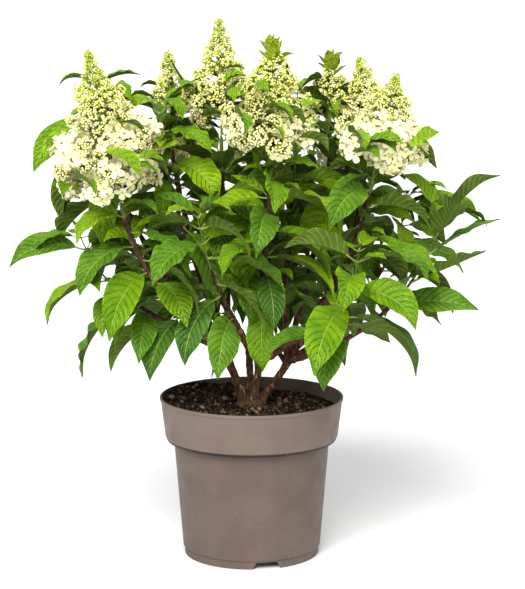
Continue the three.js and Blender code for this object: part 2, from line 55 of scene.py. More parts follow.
GAP = 0.3
POT = Sizes(height=201, rim=115, lip=0.8, band_foot_radius=108.3, band_foot=152, neck_radius=97.6, neck=147,
            base=86.6, foot=84.6, foot_height=10, wall=1.8, floor=12, floor_under=9.5, pad=16)
NOTCH = Sizes(count=3, azimuth=-77, top_width=26, foot_width=37, height=8.5)
DRAIN = Sizes(count=6, azimuth=30, ring=56, radius=5)
SOIL = Sizes(top=189, edge=183, heap=19, heap_azimuth=152, flat_radius=30)
HUMP = Sizes(radius=19, height=15)
MAIN_STEMS = {
    "left": Sizes(azimuth=196, spread=10, reach=33, fork=262, leave=8, thick=7.4),
    "middle": Sizes(azimuth=310, spread=7, reach=13, fork=250, leave=-4, thick=6.8),
    "right": Sizes(azimuth=4, spread=12, reach=46, fork=247, leave=14, thick=6.8),
    "back": Sizes(azimuth=95, spread=10, reach=36, fork=256, leave=12, thick=6.6),
}
PRUNED = Sizes(stem="right", azimuth=185, lean=30, length=46, radius=3.2)
TIP_SHARE = 0.5
LEAF = Sizes(length=102, half_width=25.5, petiole=15, roll=45,
             rise=(-22, 24), droop=(60, 66), scale=(1.04, 0.84))
TRIES = 9
TWIG = Sizes(length=46, radius=1.7, leaf_scale=0.86)
STALK = 14
LAST_PAIR = 0.985  # how far up a shoot its last leaves may stand


@dataclass
class Bloom:
    length: float
    radius: float
    showy: float  # how far up the head its florets are open


@dataclass
class Shoot:
    """A limb from a main stem's fork, and what it bears."""

    name: str
    stem: str
    azimuth: float
    reach: float
    top: float
    leave: float
    arrive: float
    thick: float
    leafy: float
    pairs: int
    phase: float
    twigs: int
    seed: int
    tilt: float = 0
    stiff: float = 1
    bloom: Bloom | None = None


# name, stem, azimuth, reach, top, leave, arrive, thick, leafy, pairs, phase, twigs, seed
SHOOTS = [
    Shoot("left_front", "left", 197.5, 165, 450, 50, 12, 5.6, 0.28, 9, 235, 2, 11,
          bloom=Bloom(190, 71, 0.6)),
    Shoot("left_low", "left", 186, 212, 408, 62, 20, 4.2, 0.3, 7, 190, 1, 98),
    Shoot("left_side", "left", 169, 196, 592, 44, 4, 4.4, 0.36, 10, 190, 2, 12, tilt=-14),
    Shoot("left_inner", "left", 165, 118, 572, 20, 2, 4.0, 0.42, 9, 225, 1, 25),
    Shoot("left_back", "left", 133, 152, 530, 24, 3, 4.4, 0.4, 7, 100, 1, 55, bloom=Bloom(96, 33, 0.1)),
    Shoot("centre_back", "left", 140, 49, 522, -16, 4, 4.8, 0.42, 7, 130, 1, 14, bloom=Bloom(147, 48, 0.15)),
    Shoot("front_left", "middle", 232, 104, 440, 36, 12, 4.0, 0.3, 8, 236, 2, 90),
    Shoot("centre_front", "middle", 286, 84, 500, 6, 5, 5.2, 0.3, 9, 262, 2, 15, bloom=Bloom(155, 62, 0.35)),
    Shoot("front_right", "right", 318, 172, 405, 72, 8, 4.0, 0.4, 7, 345, 2, 13),
    Shoot("right_front", "middle", 339, 158, 486, 62, 13, 5.6, 0.42, 8, 336, 2, 16,
          bloom=Bloom(124, 60, 0.6)),
    Shoot("centre_right", "right", 30, 66, 582, -10, 0, 4.2, 0.4, 9, 320, 1, 94),
    Shoot("right_outer", "right", 9, 142, 524, 32, -4, 4.4, 0.38, 7, 12, 1, 43, bloom=Bloom(98, 42, 0.3)),
    Shoot("right_back", "right", 38, 126, 526, 20, 1, 4.4, 0.42, 7, 60, 1, 61, bloom=Bloom(102, 40, 0.2)),
    Shoot("right_side", "right", 4, 195, 455, 58, 8, 4.0, 0.28, 9, 337, 0, 37, tilt=5, stiff=0.9),
    Shoot("right_low", "right", 352.5, 238, 440, 74, 14, 3.8, 0.5, 7, 352, 0, 19, tilt=36, stiff=0.4),
    Shoot("back_left", "back", 120, 190, 446, 44, 9, 4.6, 0.3, 8, 120, 2, 53, bloom=Bloom(112, 50, 0.5)),
    Shoot("back_centre", "back", 84, 168, 462, 30, 6, 4.8, 0.3, 8, 84, 2, 80, bloom=Bloom(112, 52, 0.5)),
    Shoot("back_right", "back", 52, 194, 440, 46, 9, 4.6, 0.3, 8, 52, 2, 64, bloom=Bloom(108, 48, 0.5)),
]

# ---- what only the looks have, in millimetres and degrees

BLADE = Sizes(tooth=0.8, thin=0.35, midrib=1.3)
SLIM = 0.82  # how wide a blade is beside the solid one, whose corners stick out further
RIB_SWEEP = 0.9  # how far forward a side rib runs on its way to the margin
CRUMBS = Sizes(count=2600, fibres=90, seed=7, edge=104)
MAIN_SKIN = Sizes(sides=26, step=1.6, deep=0.17, long=9)
PRUNED_SKIN = Sizes(sides=14, step=1.6, deep=0.1, long=9)
SHOOT_SKIN = Sizes(sides=12, step=2.4, deep=0.07, long=14)
LOBE = Sizes(size=15.5, tip_size=0.3, pitch=1.86, airy=0.1, turn=137.5)
CYMULE = Sizes(pitch=8.0, size=3.3, bud=1.7, around=4)
FLORET = Sizes(size=10.3, share=(0.12, 0.64))  # how many of a lobe's sites flower, on a shy and a showy one
HEAD_LEAF = Sizes(length=44, every=11)
CREST = Sizes(clear=24, leaves=9, length=27)
CRESTED = ("centre_front", "right_back")  # the heads that a tuft of young leaves tops
CAMERA = Sizes(place=(0.0137, -2.6, 0.781), down=9.85, lens=129.6, sensor=36)  # the place is in metres

# ---- directions, curves and draws


class Draws:
    """The source's seeded numbers from 0 to 1."""

    MASK = 0xFFFFFFFF

    def __init__(self, seed):
        self.state = seed

    def __call__(self):
        self.state = (self.state + 0x6D2B79F5) & self.MASK
        t = ((self.state ^ (self.state >> 15)) * (self.state | 1)) & self.MASK
        t ^= (t + (t ^ (t >> 7)) * (t | 61)) & self.MASK
        return (t ^ (t >> 14)) / (self.MASK + 1)


def near(draw, middle, spread):
    """A number within `spread` of `middle`."""
    return middle + spread * (2 * draw() - 1)


def lerp(a, b, t):
    return a + (b - a) * t


def smooth(low, high, x):
    """0 up to `low` and 1 from `high`, with an easy rise between."""
    t = np.clip((x - low) / (high - low), 0, 1)
    return t * t * (3 - 2 * t)


def rounds(count):
    """Even turns round a circle, in radians."""
    return 2 * np.pi * np.arange(count) / count


def heading(azimuth, elevation=0.0):
    """The unit vector at an azimuth and an elevation above the horizon, in degrees."""
    a, e = np.radians(azimuth), np.radians(elevation)
    return np.stack([np.cos(a) * np.cos(e), np.sin(a) * np.cos(e), np.sin(e) + 0 * a], axis=-1)


def place_at(azimuth, reach, height):
    return heading(azimuth) * reach + UP * height


def unit(vectors):
    return vectors / np.maximum(np.linalg.norm(vectors, axis=-1, keepdims=True), 1e-12)


def run_along(points):
    """How far along a line each of its points lies."""
    return np.concatenate([[0], np.cumsum(np.linalg.norm(np.diff(points, axis=0), axis=1))])


class Bend:
    """A cubic curve between two points that leaves and arrives at given leans from upright."""

    def __init__(self, foot, top, leave, arrive):
        azimuth = math.degrees(math.atan2(top[1] - foot[1], top[0] - foot[0]))
        pull = 0.38 * np.linalg.norm(top - foot)
        self.foot, self.top = foot, top
        self.low = foot + heading(azimuth, 90 - leave) * pull
        self.high = top - heading(azimuth, 90 - arrive) * pull

    def at(self, t):
        t = np.asarray(t, float)[..., None]
        s = 1 - t
        return s**3 * self.foot + 3 * s * s * t * self.low + 3 * s * t * t * self.high + t**3 * self.top

    def spaced(self, step):
        """Parameters from 0 to 1 about a step apart."""
        fine = np.linspace(0, 1, 200)
        run = run_along(self.at(fine))
        return np.interp(np.linspace(0, run[-1], max(3, int(run[-1] / step))), run, fine)


def main_stem_curve(stem):
    foot = place_at(stem.azimuth, stem.spread, SOIL.top + GAP)
    return Bend(foot, place_at(stem.azimuth, stem.reach, stem.fork), stem.leave, 1.2 * stem.leave)


def shoot_curve(shoot):
    fork = main_stem_curve(MAIN_STEMS[shoot.stem]).at(0.95)
    return Bend(fork, place_at(shoot.azimuth, shoot.reach, shoot.top), shoot.leave, shoot.arrive)


# ---- meshes


class Pile:
    """Triangles of one kind, gathered in millimetres and made into one mesh in metres."""

    def __init__(self):
        self.points, self.faces, self.slots, self.marks = [], [], [], []
        self.count = 0

    def add(self, points, faces, slots=0, marks=None):
        """marks are three numbers a point, which a finish may read as the attribute `place`."""
        self.points.append(points)
        self.faces.append(faces + self.count)
        self.slots.append(np.broadcast_to(slots, len(faces)))
        self.marks.append(np.zeros((len(points), 3)) if marks is None else marks)
        self.count += len(points)

    def make(self, name, finishes, slot, nodes=(), smoothed=True):
        """The piece, which stands for those nodes of the solids."""
        faces = np.concatenate(self.faces)
        mesh = bpy.data.meshes.new(name)
        mesh.vertices.add(self.count)
        mesh.vertices.foreach_set("co", (np.concatenate(self.points) * MM).astype(np.float32).ravel())
        mesh.loops.add(faces.size)
        mesh.loops.foreach_set("vertex_index", faces.astype(np.int32).ravel())
        mesh.polygons.add(len(faces))
        mesh.polygons.foreach_set("loop_start", np.arange(0, faces.size, 3, dtype=np.int32))
        mesh.polygons.foreach_set("material_index", np.concatenate(self.slots).astype(np.int32))
        mesh.polygons.foreach_set("use_smooth", np.full(len(faces), smoothed))
        place = mesh.attributes.new("place", "FLOAT_VECTOR", "POINT")
        place.data.foreach_set("vector", np.concatenate(self.marks).astype(np.float32).ravel())
        mesh.update(calc_edges=True)
        mesh.validate()
        dress(mesh, name, finishes, nodes)


def placed(name, data):
    """An object in the scene."""
    made = bpy.data.objects.new(name, data)
    bpy.context.scene.collection.objects.link(made)
    return made


def dress(mesh, name, finishes, nodes):
    """Makes a piece of a mesh, with its finishes and body, and hides the nodes that it stands for."""
    for finish in finishes:
        mesh.materials.append(finish.material)
    piece = placed(name, mesh)
    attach(piece, "root")
    if nodes:
        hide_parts(*nodes)


def icosphere():
    """The twelve corners and twenty faces of an icosahedron of radius 1."""
    g = (1 + 5**0.5) / 2
    corners = [(-1, g, 0), (1, g, 0), (-1, -g, 0), (1, -g, 0), (0, -1, g), (0, 1, g),
               (0, -1, -g), (0, 1, -g), (g, 0, -1), (g, 0, 1), (-g, 0, -1), (-g, 0, 1)]
    faces = [(0, 11, 5), (0, 5, 1), (0, 1, 7), (0, 7, 10), (0, 10, 11), (1, 5, 9), (5, 11, 4),
             (11, 10, 2), (10, 7, 6), (7, 1, 8), (3, 9, 4), (3, 4, 2), (3, 2, 6), (3, 6, 8),
             (3, 8, 9), (4, 9, 5), (2, 4, 11), (6, 2, 10), (8, 6, 7), (9, 8, 1)]
    return unit(np.array(corners, float)), np.array(faces)


def standing(directions, spins):
    """Rotation matrices that carry +Z to each direction, after a spin about it in radians."""
    z = unit(directions)
    ahead = np.where(np.abs(z[:, 2:]) < 0.9, UP, np.array([1.0, 0.0, 0.0]))
    x = unit(np.cross(ahead, z))
    y = np.cross(z, x)
    c, s = np.cos(spins)[:, None], np.sin(spins)[:, None]
    return np.stack([x * c + y * s, y * c - x * s, z], axis=-1)


def tumbled(rng, count):
    """Rotation matrices that point anywhere."""
    return standing(rng.normal(size=(count, 3)), rng.uniform(0, 6.28, count))


def scatter(pile, shape, places, turns, sizes, slots):
    """Adds a copy of a shape at each place. sizes are one number or three for each copy."""
    corners, faces = shape
    sizes = np.asarray(sizes, float).reshape(len(places), 1, -1)
    points = np.einsum("nij,nvj->nvi", turns, corners[None] * sizes) + places[:, None]
    numbers = faces[None] + len(corners) * np.arange(len(places))[:, None, None]
    slots = np.repeat(np.broadcast_to(slots, len(places)), len(faces))
    pile.add(points.reshape(-1, 3), numbers.reshape(-1, 3), slots)


def skin(loops):
    """The triangles between each closed loop of point numbers and the next."""
    ahead = np.roll(loops, -1, axis=1)
    a, b, c, d = loops[:-1], ahead[:-1], ahead[1:], loops[1:]
    return np.concatenate([np.stack([a, b, c], -1).reshape(-1, 3), np.stack([a, c, d], -1).reshape(-1, 3)])


def fan(tip, loop):
    """The triangles from one point to a closed loop."""
    return np.stack([np.full(len(loop), tip), loop, np.roll(loop, -1)], -1)


def frames_along(points):
    """Two directions square to a line at each of its points, which don't twist about it."""
    along = unit(np.gradient(points, axis=0))
    side = np.empty_like(along)
    start = np.cross(along[0], [0.0, 1.0, 0.0] if abs(along[0][1]) < 0.9 else [1.0, 0.0, 0.0])
    for i, direction in enumerate(along):
        start = unit(start - direction * (start @ direction))
        side[i] = start
    return side, np.cross(along, side)


def tube(points, radii, sides, relief=0):
    """A closed limb along a line. relief is a share of the radius to add at each place of its skin."""
    side, back = (direction[:, None] for direction in frames_along(points))
    turn = rounds(sides)[None, :, None]
    reach = np.repeat(np.asarray(radii, float)[:, None], sides, axis=1) * (1 + relief)
    around = points[:, None] + (np.cos(turn) * side + np.sin(turn) * back) * reach[..., None]
    count = len(points) * sides
    loops = np.arange(count).reshape(-1, sides)
    faces = [skin(loops), fan(count, loops[0])[:, ::-1], fan(count + 1, loops[-1])]
    return np.concatenate([around.reshape(-1, 3), points[:1], points[-1:]]), np.concatenate(faces)


# ---- finishes


class Finish:
    """A material, with short calls for the nodes that feed its one principled shader."""

    def __init__(self, name, colour, roughness, specular=0.5):
        self.material = bpy.data.materials.new(name)
        self.material.use_nodes = True
        self.tree = self.material.node_tree
        self.shader = self.tree.nodes["Principled BSDF"]
        self.shader.inputs["Base Color"].default_value = (*colour, 1)
        self.shader.inputs["Roughness"].default_value = roughness
        self.shader.inputs["Specular IOR Level"].default_value = specular
        self.coordinates = self.tree.nodes.new("ShaderNodeTexCoord").outputs["Object"]
        self.relief = None

    def node(self, kind, inputs=(), **settings):
        node = self.tree.nodes.new("ShaderNode" + kind)
        for key, value in settings.items():
            setattr(node, key, value)
        for socket, value in dict(inputs).items():
            self.feed(node.inputs[socket], value)
        return node

    def feed(self, socket, value):
        if isinstance(value, bpy.types.NodeSocket):
            self.tree.links.new(value, socket)
        else:
            socket.default_value = value

    def noise(self, per_mm, detail, stretch=(1, 1, 1), rough=0.5):
        """A cloud from 0 to 1 with about `per_mm` lumps to a millimetre."""
        at = self.node("Mapping", {"Vector": self.coordinates, "Scale": stretch}).outputs["Vector"]
        inputs = {"Vector": at, "Scale": per_mm / MM, "Detail": detail, "Roughness": rough}
        return self.node("TexNoise", inputs).outputs["Fac"]

    def cloud(self, per_mm, detail, low, high, to_low=0, to_high=1, **shape):
        """A noise that is mapped as a span is."""
        return self.span(self.noise(per_mm, detail, **shape), low, high, to_low, to_high)

    def puckers(self, low, high):
        """Small cells: how far each place is from the edge of its cell, mapped as a span is."""
        inputs = {"Vector": self.coordinates, "Scale": 0.38 / MM}
        cells = self.node("TexVoronoi", inputs, feature="DISTANCE_TO_EDGE")
        return self.span(cells.outputs["Distance"], low, high)

    def part(self, vector, axis):
        return self.node("SeparateXYZ", {"Vector": vector}).outputs[axis]

    def place(self, axis):
        """One of the three numbers that the mesh keeps as `place`."""
        return self.part(self.node("Attribute", attribute_name="place").outputs["Vector"], axis)

    def off_rib(self):
        """0 on a side rib of a blade and 1 midway to the next."""
        return self.math("PINGPONG", self.place("X"), 1.0)

    def math(self, operation, *values):
        node = self.node("Math", operation=operation)
        for socket, value in zip(node.inputs, values):
            self.feed(socket, value)
        return node.outputs[0]

    def span(self, value, low, high, to_low=0, to_high=1):
        """Maps low..high of a value to another range, eased and clamped."""
        inputs = {"Value": value, "From Min": low, "From Max": high, "To Min": to_low, "To Max": to_high}
        return self.node("MapRange", inputs, interpolation_type="SMOOTHSTEP").outputs["Result"]

    def mix(self, share, first, second):
        node = self.node("Mix", {"Factor": share}, data_type="RGBA")
        colours = [socket for socket in node.inputs if socket.type == "RGBA"]
        for socket, colour in zip(colours, (first, second)):
            self.feed(socket, colour if isinstance(colour, bpy.types.NodeSocket) else (*colour, 1))
        return next(socket for socket in node.outputs if socket.type == "RGBA")

    def colour(self, share, first, second):
        """The base colour: the first where the share is 0 and the second where it is 1."""
        self.feed(self.shader.inputs["Base Color"], self.mix(share, first, second))

    def roughness(self, socket):
        self.feed(self.shader.inputs["Roughness"], socket)

    def bump(self, height, depth):
        """Adds relief `depth` millimetres deep. Calls add up."""
        inputs = {"Height": height, "Distance": depth * MM, "Strength": 1.0}
        if self.relief is not None:
            inputs["Normal"] = self.relief
        self.relief = self.node("Bump", inputs).outputs["Normal"]
        self.feed(self.shader.inputs["Normal"], self.relief)


def shade(colour, share):
    return tuple(share * part for part in colour)


def pot_finish():
    """Matt moulded plastic: the band painted paler as painted light, painted shade under the band, a faint
    mottle, specks and dust.
    """
    finish = Finish("pot_plastic", (0.12, 0.086, 0.069), 0.5, specular=0.25)
    mottle = finish.cloud(0.02, 5, 0.3, 0.7)
    body = finish.mix(mottle, (0.115, 0.082, 0.065), (0.136, 0.098, 0.079))
    # painted light: the band is painted paler than the body, as it catches more light than the wall below it
    band = finish.mix(mottle, (0.15, 0.11, 0.088), (0.172, 0.128, 0.103))
    height = finish.part(finish.coordinates, "Z")
    # painted shade: near black on the band's underside and the wall just under it, where the band's shadow
    # falls
    corner = finish.span(height, (POT.neck - 1.5) * MM, (POT.neck + 0.4) * MM, 0, 0.9)
    body = finish.mix(corner, body, (0.012, 0.009, 0.008))
    above = finish.math("GREATER_THAN", height, (POT.band_foot - 1.2) * MM)
    specks = finish.cloud(0.55, 2, 0.66, 0.74)
    low_down = finish.span(height, 4 * MM, 20 * MM, 0.5, 0)
    dusted = finish.span(finish.math("ADD", finish.noise(0.015, 3, (1, 1, 2)), low_down), 0.42, 0.62)
    share = finish.math("MULTIPLY", finish.math("MULTIPLY", specks, dusted), 0.7)
    finish.colour(share, finish.mix(above, body, band), (0.26, 0.2, 0.165))
    finish.roughness(finish.cloud(0.05, 4, 0.3, 0.7, 0.46, 0.62))
    finish.bump(finish.noise(0.9, 3), 0.05)
    finish.bump(finish.noise(0.03, 2), 0.25)
    return finish


def soil_finish(name, dark, light):
    """Damp peat: near black, with brown where it has dried."""
    finish = Finish(name, dark, 0.95, specular=0.15)
    finish.colour(finish.cloud(0.16, 6, 0.45, 0.72, rough=0.7), dark, light)
    finish.bump(finish.noise(0.7, 5, rough=0.7), 0.8)
    return finish


def bark_finish(name, dark, light, pale):
    """Bark with long streaks, cracks and pale flakes."""
    finish = Finish(name, light, 0.75, specular=0.2)
    streaks = finish.cloud(0.5, 6, 0.38, 0.62, stretch=(1, 1, 0.25), rough=0.65)
    flakes = finish.cloud(0.16, 4, 0.56, 0.68, stretch=(1, 1, 0.4))
    finish.colour(flakes, finish.mix(streaks, dark, light), pale)
    finish.roughness(finish.span(streaks, 0, 1, 0.85, 0.6))
    finish.bump(streaks, 0.5)
    finish.bump(finish.noise(1.6, 4, (1, 1, 0.5)), 0.15)
    return finish


def leaf_finish(name, ground, fresh):
    """The upper side of a blade: sunk side ribs and a net of fine veins between puckers, darkened as painted
    shade in their grooves, and a pale rim.
    """
    finish = Finish(name, ground, 0.4, specular=0.28)
    pucker, off_rib = finish.puckers(0, 0.2), finish.off_rib()
    sunk = finish.math("MINIMUM", pucker, finish.span(off_rib, 0, 0.3))
    blade = finish.mix(finish.cloud(0.045, 5, 0.36, 0.64), ground, fresh)
    # painted shade: the blade is darkened towards half its green in the sunk vein net and along the side
    # ribs
    groove_shaded = finish.mix(finish.span(sunk, 0, 0.8, 0.42, 0), blade, shade(ground, 0.5))
    rim = finish.span(finish.math("ABSOLUTE", finish.place("Y")), 0.9, 1, 0, 0.45)
    finish.colour(rim, groove_shaded, shade(fresh, 1.3))
    finish.bump(pucker, 0.6)
    finish.bump(finish.span(off_rib, 0, 0.4), 1.2)
    finish.roughness(finish.cloud(0.08, 3, 0.3, 0.7, 0.34, 0.5))
    return finish


def under_finish(name, ground, rib_colour):
    """The under side of a blade: duller and paler, with raised ribs."""
    finish = Finish(name, ground, 0.6, specular=0.15)
    blade = finish.mix(finish.cloud(0.04, 4, 0.3, 0.7), ground, shade(ground, 0.62))
    finish.colour(finish.span(finish.off_rib(), 0.04, 0.18, 0.6, 0), blade, rib_colour)
    finish.bump(finish.puckers(0.2, 0), 0.5)
    return finish


def stalk_finish(name, low, high):
    """A smooth green or pale stalk, a little streaked."""
    finish = Finish(name, low, 0.5)
    finish.colour(finish.cloud(0.2, 3, 0.35, 0.65, stretch=(1, 1, 0.3)), low, high)
    finish.bump(finish.noise(0.9, 3, (1, 1, 0.3)), 0.12)
    return finish


def petal_finish(name, ground, tint):
    """Petals and buds: soft and pale, with a faint tint between."""
    finish = Finish(name, ground, 0.65, specular=0.2)
    finish.colour(finish.cloud(0.12, 3, 0.4, 0.75), ground, tint)
    finish.bump(finish.noise(0.5, 2), 0.1)
    return finish


# ---- pot


def rounded(corners):
    """A profile of [radius, height] points whose corners, given with a fillet, are rounded off."""
    points = []
    spots = np.array([corner[:2] for corner in corners], float)
    for i, (radius, height, *fillet) in enumerate(corners):
        if not fillet:
            points.append((radius, height))
            continue
        back, ahead = unit(spots[i - 1] - spots[i]), unit(spots[i + 1] - spots[i])
        run = fillet[0] / math.tan(math.acos(np.clip(back @ ahead, -1, 1)) / 2)
        for s in np.linspace(0, 1, 5):
            start, end = spots[i] + back * run, spots[i] + ahead * run
            points.append(tuple((1 - s) ** 2 * start + 2 * s * (1 - s) * spots[i] + s * s * end))
    return points


def mesh_of(made, name):
    """A mesh of an edit mesh, whose faces it turns outwards."""
    bmesh.ops.recalc_face_normals(made, faces=made.faces)
    mesh = bpy.data.meshes.new(name)
    made.to_mesh(mesh)
    made.free()
    return mesh


def turned(name, profile, segments):
    """A closed mesh turned about the pot's axis from a profile that runs from the axis to the axis."""
    made = bmesh.new()
    rings = []
    for radius, height in profile:
        if radius == 0:
            rings.append([made.verts.new(UP * height * MM)] * segments)
        else:
            turns = np.degrees(rounds(segments))
            rings.append([made.verts.new(place * MM) for place in place_at(turns, radius, height)])
    for low, high in zip(rings, rings[1:]):
        for i in range(segments):
            j = (i + 1) % segments
            corners = list(dict.fromkeys([low[i], low[j], high[j], high[i]]))
            if len(corners) > 2:
                made.faces.new(corners)
    return mesh_of(made, name)


def pot_cutters():
    """The drainage notches in the foot ring and the holes in the floor, as one mesh."""
    made = bmesh.new()
    for k in range(NOTCH.count):
        azimuth = NOTCH.azimuth + 360 * k / NOTCH.count
        corners = []
        for reach in (3 * POT.pad, POT.base + 10):
            for width, height in ((NOTCH.foot_width, -1), (NOTCH.top_width, NOTCH.height)):
                for hand in (-1, 1):
                    across = heading(azimuth + 90) * (hand * width / 2)
                    corners.append(made.verts.new((place_at(azimuth, reach, height) + across) * MM))
        for face in ((0, 1, 3, 2), (4, 6, 7, 5), (0, 2, 6, 4), (1, 5, 7, 3), (2, 3, 7, 6), (0, 4, 5, 1)):
            made.faces.new([corners[k] for k in face])
    for k in range(DRAIN.count):
        place = place_at(DRAIN.azimuth + 360 * k / DRAIN.count, DRAIN.ring, POT.floor) * MM
        bore = bmesh.ops.create_cone(made, cap_ends=True, segments=24, radius1=DRAIN.radius * MM,
                                     radius2=DRAIN.radius * MM, depth=2 * POT.floor * MM)
        bmesh.ops.translate(made, verts=bore["verts"], vec=Vector(place))
    return mesh_of(made, "pot_cutters")


def cut(mesh, cutter_mesh):
    """The mesh less the cutter."""
    solid, cutter = placed("cut_solid", mesh), placed("cutter", cutter_mesh)
    boolean = solid.modifiers.new("cut", "BOOLEAN")
    boolean.object, boolean.operation, boolean.solver = cutter, "DIFFERENCE", "EXACT"
    bpy.context.view_layer.update()
    result = bpy.data.meshes.new_from_object(solid.evaluated_get(bpy.context.evaluated_depsgraph_get()))
    for made in (solid, cutter):
        bpy.data.objects.remove(made)
    return result


def sharpen(mesh, degrees=32):
    """Marks the edges that turn more than this as sharp, and smooths the rest."""
    made = bmesh.new()
    made.from_mesh(mesh)
    for face in made.faces:
        face.smooth = True
    for edge in made.edges:
        edge.smooth = edge.calc_face_angle(0) < math.radians(degrees)
    made.to_mesh(mesh)
    made.free()


def make_pot():
    """The pot. A third number at a corner of its profile is the fillet there."""
    p = POT
    inside = p.foot - 2 * p.wall
    profile = rounded([
        (0, 0), (p.pad, 0, 0.8), (p.pad + 2, p.floor_under, 0.8), (inside, p.floor_under, 1),
        (inside, 0, 0.5), (p.foot, 0, 0.8), (p.foot, p.foot_height, 0.4), (p.base, p.foot_height + 1, 0.5),
        (p.neck_radius + 0.3, p.neck + 3, 0.8), (p.band_foot_radius - 2.2, p.neck, 0.4),
        (p.band_foot_radius, p.band_foot, 2), (p.rim - 1.3, p.height - 5, 0.5),
        (p.rim, p.height - 3.6, 0.4), (p.rim, p.height, 0.8), (p.rim - p.lip - p.wall, p.height, 0.6),
        (p.band_foot_radius - p.wall, p.band_foot + 1, 2), (p.neck_radius - p.wall, p.neck + p.wall, 2),
        (p.base - p.wall, p.floor, 2.5), (0, p.floor),
    ])
    mesh = cut(turned("pot_wall", profile, 160), pot_cutters())
    sharpen(mesh)
    dress(mesh, "nursery_pot", [pot_finish()], ["pot"])


# ---- soil


def soil_height(x, y):
    """The source's soil: level under the plant, lower at the wall, heaped against one side."""
    out = np.clip((np.hypot(x, y) - SOIL.flat_radius) / (POT.rim - SOIL.flat_radius), 0, 1)
    to_heap = np.cos(np.arctan2(y, x) - math.radians(SOIL.heap_azimuth))
    return lerp(SOIL.top, SOIL.edge, out) + SOIL.heap * out * np.maximum(to_heap, 0) ** 2


def wall_radius(height):
    """How far the soil reaches at a height inside the band."""
    low = POT.band_foot_radius - POT.wall - GAP
    high = POT.rim - POT.lip - POT.wall - GAP
    return lerp(low, high, (height - POT.band_foot - 1) / (POT.height - POT.band_foot - 1))


def crumbled(x, y):
    """The small lumps and dips of the surface."""
    at = Vector((x, y, 0))
    fine = noise.fractal(at / 4.5 + Vector((9, 3, 1)), 0.6, 2.1, 4)
    return 2.2 * noise.fractal(at / 17, 0.8, 2.2, 3) + 1.3 * fine


def make_soil():
    """The bed of peat: its crumbly top, and its side and bottom inside the pot."""
    rings, sides = 74, 220
    edge = wall_radius(SOIL.edge)
    points = [(0, 0, SOIL.top)]
    for share in np.linspace(0, 1, rings + 1)[1:] ** 0.9:
        for a in rounds(sides):
            x, y = share * edge * math.cos(a), share * edge * math.sin(a)
            z = soil_height(x, y) + crumbled(x, y) * min(1, 3 * (1 - share) + 0.3) * min(1, 4 * share)
            grow = wall_radius(z) / edge
            points.append((x * grow, y * grow, z))
    clear = POT.wall + GAP
    below = [(POT.band_foot_radius - clear, POT.band_foot + 1),
             (POT.neck_radius - clear, POT.neck + POT.wall), (POT.base - clear, POT.floor + GAP)]
    for radius, height in below:
        points += [(radius * math.cos(a), radius * math.sin(a), height) for a in rounds(sides)]
    points.append((0, 0, POT.floor + GAP))
    loops = 1 + np.arange((rings + len(below)) * sides).reshape(-1, sides)
    faces = [skin(loops)[:, ::-1], fan(0, loops[0]), fan(len(points) - 1, loops[-1])[:, ::-1]]
    pile = Pile()
    pile.add(np.array(points, float), np.concatenate(faces))
    peat = soil_finish("peat", (0.006, 0.004, 0.003), (0.06, 0.036, 0.02))
    pile.make("soil_bed", [peat], "potting_soil", ["soil"])
    make_crumbs(peat)


def make_crumbs(peat):
    """Loose lumps, chips and fibres that lie on the soil."""
    rng, pile, count = np.random.default_rng(CRUMBS.seed), Pile(), CRUMBS.count
    reach = 0.97 * wall_radius(SOIL.edge) * np.sqrt(rng.random(count))
    turn = 2 * np.pi * rng.random(count)
    size = 0.8 + 3.6 * rng.random(count) ** 3
    x, y = reach * np.cos(turn), reach * np.sin(turn)
    z = soil_height(x, y) + [crumbled(a, b) for a, b in zip(x, y)] + 0.2 * size
    sizes = size[:, None] * rng.uniform(0.35, 1.3, (count, 3))
    kinds = rng.choice(5, count, p=[0.44, 0.33, 0.16, 0.06, 0.01])
    scatter(pile, icosphere(), np.stack([x, y, z], -1), tumbled(rng, count), sizes, kinds)
    t = np.linspace(0, 1, 7)[:, None]
    for _ in range(CRUMBS.fibres):
        a, reach = rng.uniform(0, 360), 100 * math.sqrt(rng.random())
        length, azimuth = rng.uniform(7, 24), rng.uniform(0, 360)
        bow = rng.uniform(-4, 4) * np.sin(3 * t)
        line = heading(a) * reach + heading(azimuth) * length * t + heading(azimuth + 90) * bow
        line[:, 2] = soil_height(*line[:, :2].T) + rng.uniform(0.8, 2.4) + rng.uniform(0, 5) * t[:, 0] ** 2
        line[:, :2] *= np.minimum(1, CRUMBS.edge / np.hypot(*line[:, :2].T))[:, None]
        pile.add(*tube(line, np.linspace(0.5, 0.2, 7), 4), 5)
    finishes = [
        peat,
        soil_finish("peat_brown", (0.03, 0.018, 0.01), (0.2, 0.125, 0.075)),
        soil_finish("bark_mulch", (0.09, 0.05, 0.026), (0.34, 0.21, 0.12)),
        soil_finish("wood_chip", (0.2, 0.13, 0.075), (0.38, 0.28, 0.18)),
        soil_finish("perlite", (0.5, 0.46, 0.38), (0.62, 0.58, 0.5)),
        soil_finish("root_fibre", (0.09, 0.055, 0.032), (0.2, 0.13, 0.08)),
    ]
    pile.make("soil_crumbs", finishes, "potting_soil", smoothed=False)


# ---- limbs


def bark_relief(points, skin_kind, seed):
    """Shares of the radius: ridges that run along the limb, over slow swellings."""
    relief = np.empty((len(points), skin_kind.sides))
    for i, s in enumerate(run_along(points)):
        for j, a in enumerate(rounds(skin_kind.sides)):
            at = Vector((2.2 * math.cos(a), 2.2 * math.sin(a), s / skin_kind.long + 7.3 * seed))
            relief[i, j] = noise.fractal(at, 0.7, 2.1, 3) + 0.6 * noise.noise(at * 0.45)
    return skin_kind.deep * relief


def knuckles(t, nodes, width):
    """How much a stem swells round its nodes."""
    return np.exp(-((np.min(np.abs(t[:, None] - np.asarray(nodes)), axis=1) / width) ** 2))


